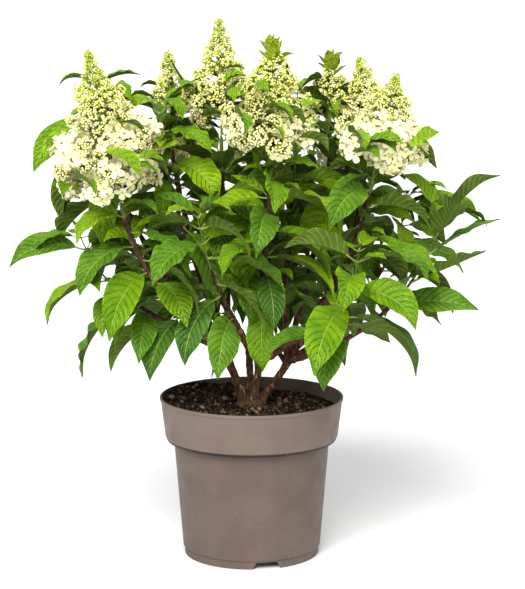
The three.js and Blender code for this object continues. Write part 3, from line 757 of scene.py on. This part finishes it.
def hump(pile):
    """The knobbly crown that the main stems rise from."""
    rings, sides = 16, 48
    points = []
    for share in np.linspace(0, 1, rings + 1):
        for a in rounds(sides):
            rough = noise.fractal(Vector((1.6 * math.cos(a), 1.6 * math.sin(a), 3 * share)), 0.7, 2.1, 4)
            reach = HUMP.radius * (1 - share**2.2) * (1 + 0.16 * rough)
            height = SOIL.top + GAP - 1 + (HUMP.height + 2 * rough) * share
            points.append((reach * math.cos(a), reach * math.sin(a), height))
    pile.add(np.array(points), skin(np.arange(len(points)).reshape(-1, sides)))


def make_limbs(plants):
    """The woody foot, the main stems, the pruned stem and every shoot up to its head."""
    pile = Pile()
    for number, stem in enumerate(MAIN_STEMS.values()):
        curve = main_stem_curve(stem)
        t = curve.spaced(MAIN_SKIN.step)
        radii = stem.thick * lerp(0.98, 0.66, np.minimum(2.5 * t, 1)) * (1 + 0.25 * knuckles(t, [0.97], 0.1))
        pile.add(*tube(curve.at(t), radii, MAIN_SKIN.sides, bark_relief(curve.at(t), MAIN_SKIN, number)))
    hump(pile)
    fork = main_stem_curve(MAIN_STEMS[PRUNED.stem]).at(0.9)
    t = np.linspace(0, 1, int(PRUNED.length / PRUNED_SKIN.step))
    line = fork + heading(PRUNED.azimuth, 90 - PRUNED.lean) * PRUNED.length * t[:, None]
    radii = PRUNED.radius * (1 + 0.2 * knuckles(t, [1], 0.1))
    pile.add(*tube(line, radii, PRUNED_SKIN.sides, bark_relief(line, PRUNED_SKIN, 5)), 1)
    for number, plant in enumerate(plants, 10):
        shoot = plant.shoot
        t = plant.curve.spaced(SHOOT_SKIN.step)
        points = plant.curve.at(t)
        nodes = [at for _, at in pair_places(shoot)] + list(np.linspace(0.06, shoot.leafy, 4))
        taper = lerp(1, TIP_SHARE, t**0.8) * (1 + 0.24 * knuckles(t, nodes, 0.009))
        if not shoot.bloom:
            taper *= 1 - 0.66 * smooth(0.3, 0.95, t)
        relief = bark_relief(points, SHOOT_SKIN, number) * np.clip(1.3 - t, 0.3, 1)[:, None]
        points, faces = tube(points, shoot.thick * taper, SHOOT_SKIN.sides, relief)
        rows = np.minimum(faces.min(axis=1) // SHOOT_SKIN.sides, len(t) - 1)
        younger_from = [0.2, 0.62, 0.93] if shoot.bloom else [0.2, 0.42, 0.68]
        pile.add(points, faces, np.digitize(t[rows], younger_from))
    finishes = [
        bark_finish("bark_old", (0.045, 0.021, 0.011), (0.18, 0.085, 0.04), (0.38, 0.22, 0.12)),
        bark_finish("bark_brown", (0.036, 0.016, 0.009), (0.13, 0.056, 0.028), (0.24, 0.125, 0.07)),
        bark_finish("bark_young", (0.03, 0.015, 0.009), (0.11, 0.055, 0.03), (0.2, 0.12, 0.06)),
        stalk_finish("stem_green", (0.09, 0.12, 0.02), (0.15, 0.19, 0.035)),
    ]
    pile.make("stems", finishes, "bark", ["woody_foot"] + [f"{shoot.name}_bough" for shoot in SHOOTS])


# ---- leaves


@dataclass
class Leaf:
    root: np.ndarray
    azimuth: float
    rise: float
    droop: float
    roll: float
    length: float
    petiole: float
    half_width: float
    share: float = 1.0  # how far up its shoot's leafy part it grows


def midrib_at(leaf, u):
    """Points of the midrib's arc, with the blade's own side and face directions there."""
    rise, droop, roll = np.radians([leaf.rise, leaf.droop, leaf.roll])
    angle = (rise - droop * u)[:, None]
    radius = leaf.length / droop
    out, across = heading(leaf.azimuth), heading(leaf.azimuth + 90)
    start = leaf.root + heading(leaf.azimuth, leaf.rise) * leaf.petiole
    point = start + radius * (out * (np.sin(rise) - np.sin(angle)) + UP * (np.cos(angle) - np.cos(rise)))
    upward = UP * np.cos(angle) - out * np.sin(angle)
    side = across * np.cos(roll) + upward * np.sin(roll)
    face = upward * np.cos(roll) - across * np.sin(roll)
    return point, side, face


def leaf_tip(leaf):
    return midrib_at(leaf, np.ones(1))[0][0]


def blade_shape(u):
    """The blade's half width at a share u of its length, drawn out to a fine tip."""
    full = np.power(np.maximum(u, 0), 0.8) * np.maximum(1 - u, 0) / 0.29
    return full * (1 - 0.35 * smooth(0.7, 0.95, u))


class Blade:
    """A leaf blade's points and triangles, before any leaf's own bends.

    Rows run along the side ribs and halfway between them, and the margin has more points to a row, for its
    teeth. The two sides of the blade are two sheets that meet at the margin.
    """

    def __init__(self, ribs, columns, margin_steps):
        self.rows = 2 * (ribs + 1)
        self.points, self.faces = [], []
        middle = self.line(0, 1)
        half = margin_steps // 2
        for hand in (-1, 1):
            inner = middle
            for across in columns:
                outer = self.line(hand * across, 1)
                for i in range(self.rows):
                    self.face(hand, inner[i], inner[i + 1], outer[i + 1], across == columns[0])
                    self.face(hand, inner[i], outer[i + 1], outer[i], across == columns[0])
                inner = outer
            margin = self.line(hand, margin_steps)
            for i in range(self.rows):
                steps = margin[margin_steps * i : margin_steps * (i + 1) + 1]
                for k in range(margin_steps):
                    self.face(hand, inner[i] if k < half else inner[i + 1], steps[k + 1], steps[k], False)
                self.face(hand, inner[i], inner[i + 1], steps[half], False)
        self.close(len(columns) > 1)

    def line(self, across, per_row):
        """Adds a line of points from the root end to the tip, and returns their numbers."""
        first = len(self.points)
        for k in range(self.rows * per_row + 1):
            self.points.append((k / per_row, across, k % 2 if per_row > 1 else 0))
        return range(first, len(self.points))

    def face(self, hand, a, b, c, middle):
        self.faces.append((*((a, b, c) if hand > 0 else (a, c, b)), middle))

    def close(self, has_midrib):
        """Draws the ends together to one point each, and adds the sheet of the under side."""
        points, faces = np.array(self.points, float), np.array(self.faces)
        merged = np.arange(len(points))
        merged[points[:, 0] == 0] = 0
        merged[points[:, 0] == self.rows] = self.rows
        corners = merged[faces[:, :3]]
        whole = np.all(corners != np.roll(corners, 1, axis=1), axis=1)
        used, corners = np.unique(corners[whole], return_inverse=True)
        corners = corners.reshape(-1, 3)
        kinds = np.where(faces[whole, 3] & has_midrib, 1, 0)
        self.row, self.across, self.tooth = (np.tile(part, 2) for part in points[used].T)
        self.under = np.repeat([0.0, 1.0], len(used))
        self.corners = np.concatenate([corners, corners[:, ::-1] + len(used)])
        self.kinds = np.concatenate([kinds, np.full(len(kinds), 2)])  # 0 blade, 1 midrib, 2 under side

    def shaped(self, leaf, form):
        """This blade's points on a leaf."""
        along = self.row / self.rows
        wide = np.abs(self.across)
        u = along + RIB_SWEEP * along * (1 - along) * wide**1.25
        point, side, face = midrib_at(leaf, u)
        half = SLIM * leaf.half_width * blade_shape(u)
        twist = np.radians(form.twist) * (u - 0.3)[:, None]
        side, face = side * np.cos(twist) + face * np.sin(twist), face * np.cos(twist) - side * np.sin(twist)
        size = leaf.length / LEAF.length
        ends = np.sqrt(np.clip(4 * u * (1 - u), 0, 1))
        reach = self.across * half + np.sign(self.across) * self.tooth * BLADE.tooth * size * ends
        hand = np.where(self.across > 0, 0, form.uneven)
        lift = half * (np.tan(np.radians(form.fold)) * wide - form.bow * wide**2)
        ripple = np.sin(2 * np.pi * (form.waves * u + hand) + form.phase)
        lift += form.wave * size * ends * wide**2.2 * ripple
        off_rib = 1 - np.abs(self.row % 2 - 1)
        lift -= form.curl * size * smooth(0.6, 1, u) * np.maximum(u - 0.6, 0) / 0.4
        lift += form.quilt * size * ends * (off_rib - 0.5) * np.minimum(1, 5 * wide) * (1 - wide**3)
        groove = np.exp(-((wide / 0.09) ** 2))
        lift -= 0.5 * size * ends * groove
        thick = (BLADE.thin + BLADE.midrib * groove + 0.4 * (1 - off_rib) * np.minimum(1, 5 * wide)) * ends
        lift -= self.under * size * thick * (1 - wide**6)
        return point + side * reach[:, None] + face * lift[:, None]


def leaf_form(rng, calm=1.0):
    """A leaf's own look: how far it folds, bows, curls, waves, twists and puckers."""
    return Sizes(
        fold=rng.uniform(15, 38), bow=rng.uniform(0.02, 0.3), curl=rng.uniform(0, 9),
        wave=calm * rng.uniform(0.8, 3.4), waves=rng.uniform(1.8, 4.2), phase=rng.uniform(0, 6.28),
        uneven=rng.uniform(0, 1), twist=calm * rng.normal(0, 22), quilt=rng.uniform(1.8, 2.9),
    )


# ---- growth


class Plant:
    """A shoot with what has grown on it, and the corners of its packed foliage."""

    def __init__(self, shoot):
        self.shoot, self.curve, self.draw = shoot, shoot_curve(shoot), Draws(shoot.seed)
        self.leaves, self.twigs = [], []
        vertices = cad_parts[f"{shoot.name}_foliage"].data.vertices
        self.corners = kdtree.KDTree(len(vertices))
        for i, vertex in enumerate(vertices):
            self.corners.insert(vertex.co / MM, i)
        self.corners.balance()

    def has(self, point):
        """Whether the solids have a corner here, to 0.2 mm."""
        return self.corners.find(point)[2] < 0.2


def grow_leaf(plant, root, azimuth, share, tilt=0, stiff=1, scale=1):
    """Goes through the rule's tries up to the one that the solids took."""
    draw = plant.draw
    for attempt in range(TRIES):
        size = near(draw, lerp(*LEAF.scale, share * share) * scale, 0.1) * (1 - 0.035 * attempt)
        leaf = Leaf(
            root=root,
            azimuth=near(draw, azimuth, 12 + 7 * attempt),
            rise=near(draw, lerp(*LEAF.rise, share**1.6) + tilt, 10 + 4 * attempt),
            droop=near(draw, lerp(*LEAF.droop, share) * stiff, 14 + 4 * attempt),
            roll=near(draw, 0, LEAF.roll),
            length=LEAF.length * size,
            petiole=LEAF.petiole * size,
            half_width=LEAF.half_width * size * near(draw, 1, 0.08),
            share=share,
        )
        if plant.has(leaf_tip(leaf)):
            plant.leaves.append(leaf)
            return


def pair_places(shoot):
    """How far up its leafy part, and up its whole length, each pair of leaves stands on a shoot."""
    for pair in range(shoot.pairs):
        share = (pair + 0.35) / shoot.pairs
        yield share, lerp(shoot.leafy, LAST_PAIR, share)


def axils(plant):
    """Where each leaf of a shoot stands: pairs, each one crosswise to the last, up the leafy stem."""
    for pair, (share, at) in enumerate(pair_places(plant.shoot)):
        for turn in (0, 180):
            yield pair, share, plant.curve.at(at), plant.shoot.phase + 90 * pair + turn


def grow_pairs(plant):
    for _, share, root, azimuth in axils(plant):
        grow_leaf(plant, root, azimuth, share, plant.shoot.tilt, plant.shoot.stiff)


def twig_corners(foot, end):
    """The three corners of a packed twig's end."""
    along = unit(end - foot)
    side = unit(np.cross(along, UP))
    back = np.cross(along, side)
    return [end + TWIG.radius * (side * math.sin(a) + back * math.cos(a)) for a in rounds(3)]


def grow_twigs(plant):
    """A twig from each of the lowest axils, where the solids have it, with two pairs of leaves."""
    draw = plant.draw
    for pair, share, root, azimuth in axils(plant):
        if pair >= plant.shoot.twigs:
            continue
        turn = near(draw, azimuth, 24)
        length = TWIG.length * near(draw, 1, 0.3)
        end = root + heading(turn, near(draw, 34, 14)) * length
        if any(plant.has(corner) for corner in twig_corners(root, end)):
            plant.twigs.append((root, end))
            for place, spread in ((0.55, 72), (0.97, 48)):
                foot = lerp(root, end, place)
                for side in (-1, 1):
                    grow_leaf(plant, foot, turn + side * spread, share, scale=TWIG.leaf_scale)


def grow_plants():
    plants = [Plant(shoot) for shoot in SHOOTS]
    for grow in (grow_pairs, grow_twigs):
        for plant in plants:
            grow(plant)
    return plants


# ---- foliage

MIDRIB, UNDER, SHOOT_TIP = 4, 5, 6  # their places in the list of leaf finishes, after four greens
CROWN_FOOT, CROWN_HEIGHT = 230, 330


def leaf_finishes():
    return [
        leaf_finish("leaf_lime", (0.22, 0.41, 0.003), (0.33, 0.54, 0.005)),
        leaf_finish("leaf_bright", (0.15, 0.33, 0.003), (0.23, 0.44, 0.006)),
        leaf_finish("leaf_green", (0.096, 0.24, 0.008), (0.16, 0.345, 0.016)),
        leaf_finish("leaf_deep", (0.055, 0.155, 0.012), (0.1, 0.235, 0.02)),
        stalk_finish("leaf_midrib", (0.2, 0.34, 0.03), (0.28, 0.42, 0.05)),
        under_finish("leaf_under", (0.12, 0.2, 0.02), (0.27, 0.36, 0.08)),
        leaf_finish("leaf_shoot_tip", (0.42, 0.56, 0.02), (0.54, 0.66, 0.04)),
    ]


def leaf_tone(leaf, rng):
    """Which green a leaf has: fresher towards the top of the plant and of its shoot."""
    height = np.clip((leaf_tip(leaf)[2] - CROWN_FOOT) / CROWN_HEIGHT, 0, 1)
    fresh = 0.38 + 0.28 * height + 0.22 * leaf.share + rng.normal(0, 0.2)
    return int(np.digitize(-fresh, [-0.84, -0.56, -0.24]))


def add_leaf(pile, blade, leaf, form, tone, under=UNDER):
    slots = np.choose(blade.kinds, [tone, MIDRIB, under])
    marks = np.stack([blade.row, blade.across, blade.under], -1)
    pile.add(blade.shaped(leaf, form), blade.corners, slots, marks)


def add_petiole(pile, leaf, thick):
    """A leaf's stalk, from its stem to the foot of its midrib."""
    start, _, _ = midrib_at(leaf, np.array([0.0, 0.05]))
    t = np.linspace(0, 1, 5)[:, None]
    line = lerp(leaf.root, start[0], t) - UP * 0.06 * leaf.petiole * np.sin(np.pi * t)
    pile.add(*tube(np.concatenate([line, start[1:]]), thick * np.array([1.5, 1.1, 0.95, 0.9, 0.85, 0.5]), 6))


def small_leaf(rng, root, azimuth, rise, droop, roll, length, petiole, half_width, share=1.0):
    """A leaf whose bends are drawn from ranges. Its petiole and half width are shares of its length."""
    return Leaf(root, azimuth, rng.uniform(*rise), rng.uniform(*droop), rng.uniform(-roll, roll), length,
                petiole * length, half_width * length, share)


def young_leaves(plant, rng):
    """Small leaves in the axils and two pairs close under the shoot's end."""
    for _, share, root, azimuth in axils(plant):
        if rng.random() > 0.72:
            continue
        length, azimuth = rng.uniform(26, 60), azimuth + rng.uniform(-50, 50)
        yield small_leaf(rng, root, azimuth, (20, 60), (30, 80), 40, length, 0.2, 0.23, share)
    for k in range(4):
        length, azimuth = rng.uniform(34, 62), plant.shoot.phase + 90 * k + rng.uniform(-20, 20)
        yield small_leaf(rng, plant.curve.at(LAST_PAIR), azimuth, (10, 46), (40, 80), 30, length, 0.16, 0.23)


def make_foliage(plants, finishes, small, pale_stalk):
    """The leaves, a piece for each main stem's shoots, and the twigs and leaf stalks."""
    blade = Blade(ribs=10, columns=(0.024, 0.3, 0.62, 0.88), margin_steps=4)
    stalks, young = Pile(), Pile()
    t = np.linspace(0, 1, 10)
    twig_radii = TWIG.radius * (1.15 - 0.35 * t) * (1 + 0.3 * knuckles(t, [0.55, 0.97], 0.05))
    for stem in MAIN_STEMS:
        pile, nodes = Pile(), []
        for plant in (plant for plant in plants if plant.shoot.stem == stem):
            rng = np.random.default_rng(plant.shoot.seed)
            nodes.append(f"{plant.shoot.name}_foliage")
            for leaf in plant.leaves:
                add_leaf(pile, blade, leaf, leaf_form(rng), leaf_tone(leaf, rng))
                add_petiole(stalks, leaf, 1.1)
            for foot, end in plant.twigs:
                stalks.add(*tube(lerp(foot, end, t[:, None]), twig_radii, 8), 1)
            for leaf in young_leaves(plant, rng):
                add_leaf(young, small, leaf, leaf_form(rng, 0.6), int(rng.choice(3, p=[0.35, 0.45, 0.2])))
                add_petiole(stalks, leaf, 0.7)
        pile.make(f"leaves_{stem}", finishes, "leaf", nodes)
    young.make("leaves_young", finishes, "leaf")
    twig_bark = bark_finish("twig_bark", (0.07, 0.045, 0.02), (0.16, 0.12, 0.05), (0.2, 0.17, 0.08))
    stalks.make("leaf_stalks", [pale_stalk, twig_bark], "leaf")


# ---- flower heads


def head_shape(u):
    """A cone that rounds off below: the half width at a share u of the head's length."""
    return np.minimum(1, 1.5 * (1 - u)) * np.minimum(1, 0.8 + 2 * u)


def floret():
    """Four broad petals in a shallow cup, each a thin lens, in units of the floret's radius."""
    around, pile = 8, Pile()
    ring = np.repeat([0, 0.55, 1.0], [1, around, around])
    turn = np.concatenate([[0], rounds(around), rounds(around)])
    ahead, beside = np.cos(turn), np.sin(turn)
    out = 0.5 + 0.5 * ring * ahead
    wide = 0.43 * ring * beside * (0.84 + 0.24 * ahead)
    loops = 1 + np.arange(2 * around).reshape(2, around)
    faces = np.concatenate([fan(0, loops[0]), skin(loops)[:, ::-1]])
    for petal in range(4):
        c, s = math.cos(math.pi / 2 * petal), math.sin(math.pi / 2 * petal)
        over = 0.07 * (petal % 2)  # two petals lie over the other two
        for under in (0, 1):
            lift = 0.36 * out * (1 - 0.5 * out) + 0.55 * wide * wide + over - 0.05 * under * (1 - ring)
            points = np.stack([out * c - wide * s, out * s + wide * c, lift], -1)
            pile.add(points, faces[:, ::-1] if under else faces)
    return np.concatenate(pile.points), np.concatenate(pile.faces)


def fibonacci(count):
    """Points spread evenly over the unit sphere, from +Z to -Z."""
    k = np.arange(count) + 0.5
    polar, turn = np.arccos(1 - 2 * k / count), math.pi * (1 + 5**0.5) * k
    return np.stack([np.cos(turn) * np.sin(polar), np.sin(turn) * np.sin(polar), np.cos(polar)], -1)


def head_lobes(bloom, top, rng):
    """The tufts that a head is built of: place, direction, size, share up the head and how showy each is."""
    height, turn = STALK + 13.0, rng.uniform(0, 360)
    while height < top:
        u = (height - STALK) / (bloom.length - STALK)
        size = LOBE.size * lerp(1, LOBE.tip_size, u**0.8) * rng.uniform(0.72, 1.18)
        flowering = 1 - smooth(bloom.showy - 0.2, bloom.showy + 0.02, u)
        showy = flowering * FLORET.share[int(rng.random() < 0.62)]
        envelope = bloom.radius * head_shape(u) * rng.uniform(0.56, 1.04)
        reach = max(envelope - 0.95 * size - 5 * showy, 0.15 * size)
        rise = lerp(-10, 55, u) + rng.uniform(-10, 10)
        yield place_at(turn, reach, height), heading(turn, rise), size, u, showy
        pitch = LOBE.pitch * size * (1 + LOBE.airy * (0.6 - bloom.showy))
        height += pitch * pitch / (2 * math.pi * max(reach, 0.42 * pitch))
        turn += LOBE.turn


class Head:
    """What one flower head is made of, in its own frame, whose last axis runs up the head."""

    def __init__(self, plant):
        self.name, self.bloom = plant.shoot.name, plant.shoot.bloom
        self.rng = np.random.default_rng(500 + plant.shoot.seed)
        self.buds, self.florets, self.cores, self.branches = [], [], [], Pile()
        self.foot = plant.curve.top
        self.turn = standing((plant.curve.top - plant.curve.high)[None], np.zeros(1))[0]

    def stand(self, points):
        """Points of the head's own frame, in the plant's."""
        return self.foot + np.asarray(points) @ self.turn.T

    def grow(self):
        t = np.linspace(0, 1, 24)
        sway = 1.2 * np.sin(5 * t)[:, None] * np.array([1.0, 0.5, 0.0])
        line = UP * (t * (self.bloom.length - 4))[:, None] + sway
        self.branches.add(*tube(line, lerp(1.5, 0.45, t), 6))
        top = self.bloom.length - (CREST.clear if self.name in CRESTED else 3)
        for lobe in head_lobes(self.bloom, top, self.rng):
            self.grow_lobe(*lobe)

    def grow_lobe(self, place, direction, size, u, showy):
        """A tuft of branches on its own stalk, each with a floret or a knot of buds at its end."""
        rng = self.rng
        self.branch(UP * max(2.0, place[2] - 0.55 * math.hypot(*place[:2])), place, 0.75, 4)
        # a solid heart for the lobe's inner branches, coloured darker green as painted shade in the gaps
        # between the buds
        self.cores.append((place, 0.5 * size))
        sites = fibonacci(max(8, int(4 * math.pi * size * size / CYMULE.pitch**2)))
        toward = standing(direction[None], rng.uniform(0, 6.28, 1))[0]
        for site in sites[sites[:, 2] > -0.3]:
            out = toward @ site
            spot = place + out * size * rng.uniform(0.8, 1.12)
            self.branch(place - direction * 0.3 * size, spot, 0.35, 3)
            outside = out @ unit(spot * np.array([1, 1, 0.2]) + 1e-6) > 0.05
            if outside and rng.random() < showy:
                self.florets.append((spot + out * rng.uniform(-1, 5), out, rng.uniform(0.78, 1.1), u))
            else:
                self.grow_cymule(spot, out, size / LOBE.size, u)

    def grow_cymule(self, spot, out, scale, u):
        """A knot of buds: one at its middle and the rest round it."""
        rng = self.rng
        x, y, _ = standing(out[None], rng.uniform(0, 6.28, 1))[0].T
        wide = CYMULE.size * lerp(0.62, 1, scale)
        self.buds.append((spot + out * 0.5 * wide, u))
        for a in rounds(CYMULE.around):
            offset = (x * math.cos(a) + y * math.sin(a)) * wide * rng.uniform(0.7, 1.1)
            self.buds.append((spot + offset + out * rng.uniform(-1.2, 0.8), u))

    def branch(self, foot, end, radius, sides):
        middle = lerp(foot, end, 0.55) + UP * 0.08 * np.linalg.norm(end - foot)
        line = np.stack([foot, middle, end] if sides > 3 else [foot, end])
        self.branches.add(*tube(line, np.linspace(radius, 0.7 * radius, len(line)), sides))

    def make_buds(self, finishes):
        """The buds, from cream low down to green at the tip, and the hearts of the lobes: solid balls for
        the inner branches, in a darker green that is painted shade between the buds.
        """
        rng, pile = self.rng, Pile()
        spots, u = zip(*self.buds)
        u = np.array(u)
        sizes = CYMULE.bud * lerp(1.04, 0.66, u) * rng.uniform(0.82, 1.14, len(u))
        turns = tumbled(rng, len(u))
        slots = np.digitize(u + rng.normal(0, 0.1, len(u)), [self.bloom.showy + 0.02, 0.8])
        scatter(pile, icosphere(), self.stand(spots), turns, sizes, slots)
        spots, sizes = zip(*self.cores)
        scatter(pile, icosphere(), self.stand(spots), tumbled(rng, len(spots)), sizes, 3)
        pile.make(f"{self.name}_buds", finishes, "blossom", [f"{self.name}_flower_head"])

    def add_florets(self, pile):
        if not self.florets:
            return
        rng = self.rng
        spots, outs, sizes, u = (np.array(part) for part in zip(*self.florets))
        outs = outs @ self.turn.T
        outs = unit(outs + rng.normal(0, 0.22, outs.shape))
        young = u > self.bloom.showy - 0.06
        sizes = FLORET.size * sizes * np.where(young, 0.72, 1)
        turns = standing(outs, rng.uniform(0, 6.28, len(u)))
        spots = self.stand(spots)
        scatter(pile, floret(), spots, turns, sizes, np.where(young, 1, 0))
        scatter(pile, icosphere(), spots + outs * 0.14 * sizes[:, None], turns, np.full(len(u), 1.3), 2)

    def add_leaves(self, pile, blade):
        """Leaves that stand out between the lobes, and a tuft at the top of some heads."""
        rng, bloom = self.rng, self.bloom
        for k in range(int(bloom.length / HEAD_LEAF.every)):
            u, azimuth = rng.uniform(0.02, 0.52), LOBE.turn * k + rng.uniform(-30, 30)
            root = place_at(azimuth, 0.85 * bloom.radius * head_shape(u), lerp(STALK, bloom.length, u))
            length = HEAD_LEAF.length * rng.uniform(0.75, 1.2) * lerp(0.4, 1, bloom.radius / 60)
            leaf = small_leaf(rng, self.stand(root), azimuth, (5, 50), (45, 95), 35, length, 0.2, 0.27)
            add_leaf(pile, blade, leaf, leaf_form(rng, 0.7), int(rng.choice(2)))
        if self.name not in CRESTED:
            return
        for k, share in enumerate(np.linspace(0, 1, CREST.leaves)):
            root = self.stand(UP * (bloom.length - lerp(CREST.clear + 10, CREST.clear, share)))
            length = CREST.length * rng.uniform(0.85, 1.1)
            leaf = Leaf(root, LOBE.turn * k, lerp(35, 84, share), rng.uniform(-15, 15), rng.uniform(-20, 20),
                        length, 2, 0.42 * length)
            add_leaf(pile, blade, leaf, leaf_form(rng, 0.4), SHOOT_TIP, under=SHOOT_TIP)


def make_heads(plants, finishes, small, pale_stalk):
    bud_finishes = [
        petal_finish("buds_cream", (0.97, 0.92, 0.5), (0.93, 0.87, 0.34)),
        petal_finish("buds_lime", (0.92, 0.9, 0.34), (0.82, 0.82, 0.21)),
        petal_finish("buds_green", (0.56, 0.64, 0.09), (0.42, 0.52, 0.05)),
        # a darker green for the lobes' hearts: painted shade in the gaps between the buds
        petal_finish("tuft_core_shade", (0.42, 0.46, 0.04), (0.3, 0.36, 0.02)),
    ]
    petal_finishes = [
        petal_finish("petal_cream", (0.97, 0.94, 0.62), (0.95, 0.91, 0.44)),
        petal_finish("petal_young", (0.88, 0.89, 0.42), (0.78, 0.8, 0.28)),
        petal_finish("floret_eye", (0.5, 0.52, 0.08), (0.4, 0.42, 0.05)),
    ]
    petals, branches, leaves = Pile(), Pile(), Pile()
    for head in (Head(plant) for plant in plants if plant.shoot.bloom):
        head.grow()
        head.make_buds(bud_finishes)
        # A slip that the looks keep: these faces already count the head's earlier points and are counted on
        # again, so they join points of branches further on, as thin webs between neighbouring branches.
        for points, faces in zip(head.branches.points, head.branches.faces):
            branches.add(head.stand(points), faces)
        head.add_florets(petals)
        head.add_leaves(leaves, small)
    petals.make("florets", petal_finishes, "blossom")
    branches.make("head_branches", [pale_stalk], "blossom")
    leaves.make("head_leaves", finishes, "leaf")


# ---- the studio


def make_floor():
    """A plain pale floor, 80 m wide."""
    mesh = bpy.data.meshes.new("floor")
    mesh.from_pydata([(-40, -40, 0), (40, -40, 0), (40, 40, 0), (-40, 40, 0)], [], [(0, 1, 2, 3)])
    mesh.materials.append(Finish("floor_white", (0.9, 0.9, 0.9), 0.9).material)
    placed("floor", mesh)


def make_world():
    """White all round: soft light on the plant, and full white where the camera sees it."""
    world = bpy.data.worlds.new("studio")
    world.use_nodes = True
    tree = world.node_tree
    seen = tree.nodes.new("ShaderNodeLightPath").outputs["Is Camera Ray"]
    strength = tree.nodes.new("ShaderNodeMapRange")
    strength.inputs["To Min"].default_value = 0.5  # what lights the plant
    strength.inputs["To Max"].default_value = 1.0  # what shows behind it
    tree.links.new(seen, strength.inputs["Value"])
    tree.links.new(strength.outputs["Result"], tree.nodes["Background"].inputs["Strength"])
    tree.nodes["Background"].inputs["Color"].default_value = (1, 1, 1, 1)
    bpy.context.scene.world = world
    bpy.context.scene.view_settings.view_transform = "Standard"


def make_lights():
    """Three wide suns: a key and a fill from the front, and a rim from behind."""
    for name, azimuth, height, angle, power in (
        ("key", 255, 42, 34, 3.7),
        ("fill", 305, 30, 70, 0.55),
        ("rim", 60, 58, 50, 0.6),
    ):
        lamp = bpy.data.lights.new(name, "SUN")
        lamp.angle, lamp.energy = math.radians(angle), power
        toward = Vector(heading(azimuth, height))
        placed(name, lamp).rotation_euler = toward.to_track_quat("Z", "Y").to_euler()


def make_camera():
    """The camera, where the photographer stood."""
    lens = bpy.data.cameras.new("camera")
    lens.lens, lens.sensor_width = CAMERA.lens, CAMERA.sensor
    camera = placed("camera", lens)
    camera.location = CAMERA.place
    camera.rotation_euler = (math.radians(90 - CAMERA.down), 0, 0)
    bpy.context.scene.camera = camera


def main():
    make_floor()
    make_world()
    make_lights()
    make_camera()
    make_pot()
    make_soil()
    plants = grow_plants()
    make_limbs(plants)
    finishes, pale_stalk = leaf_finishes(), stalk_finish("pale_stalk", (0.22, 0.32, 0.05), (0.33, 0.4, 0.09))
    small = Blade(ribs=5, columns=(0.5,), margin_steps=2)
    make_foliage(plants, finishes, small, pale_stalk)
    make_heads(plants, finishes, small, pale_stalk)


main()
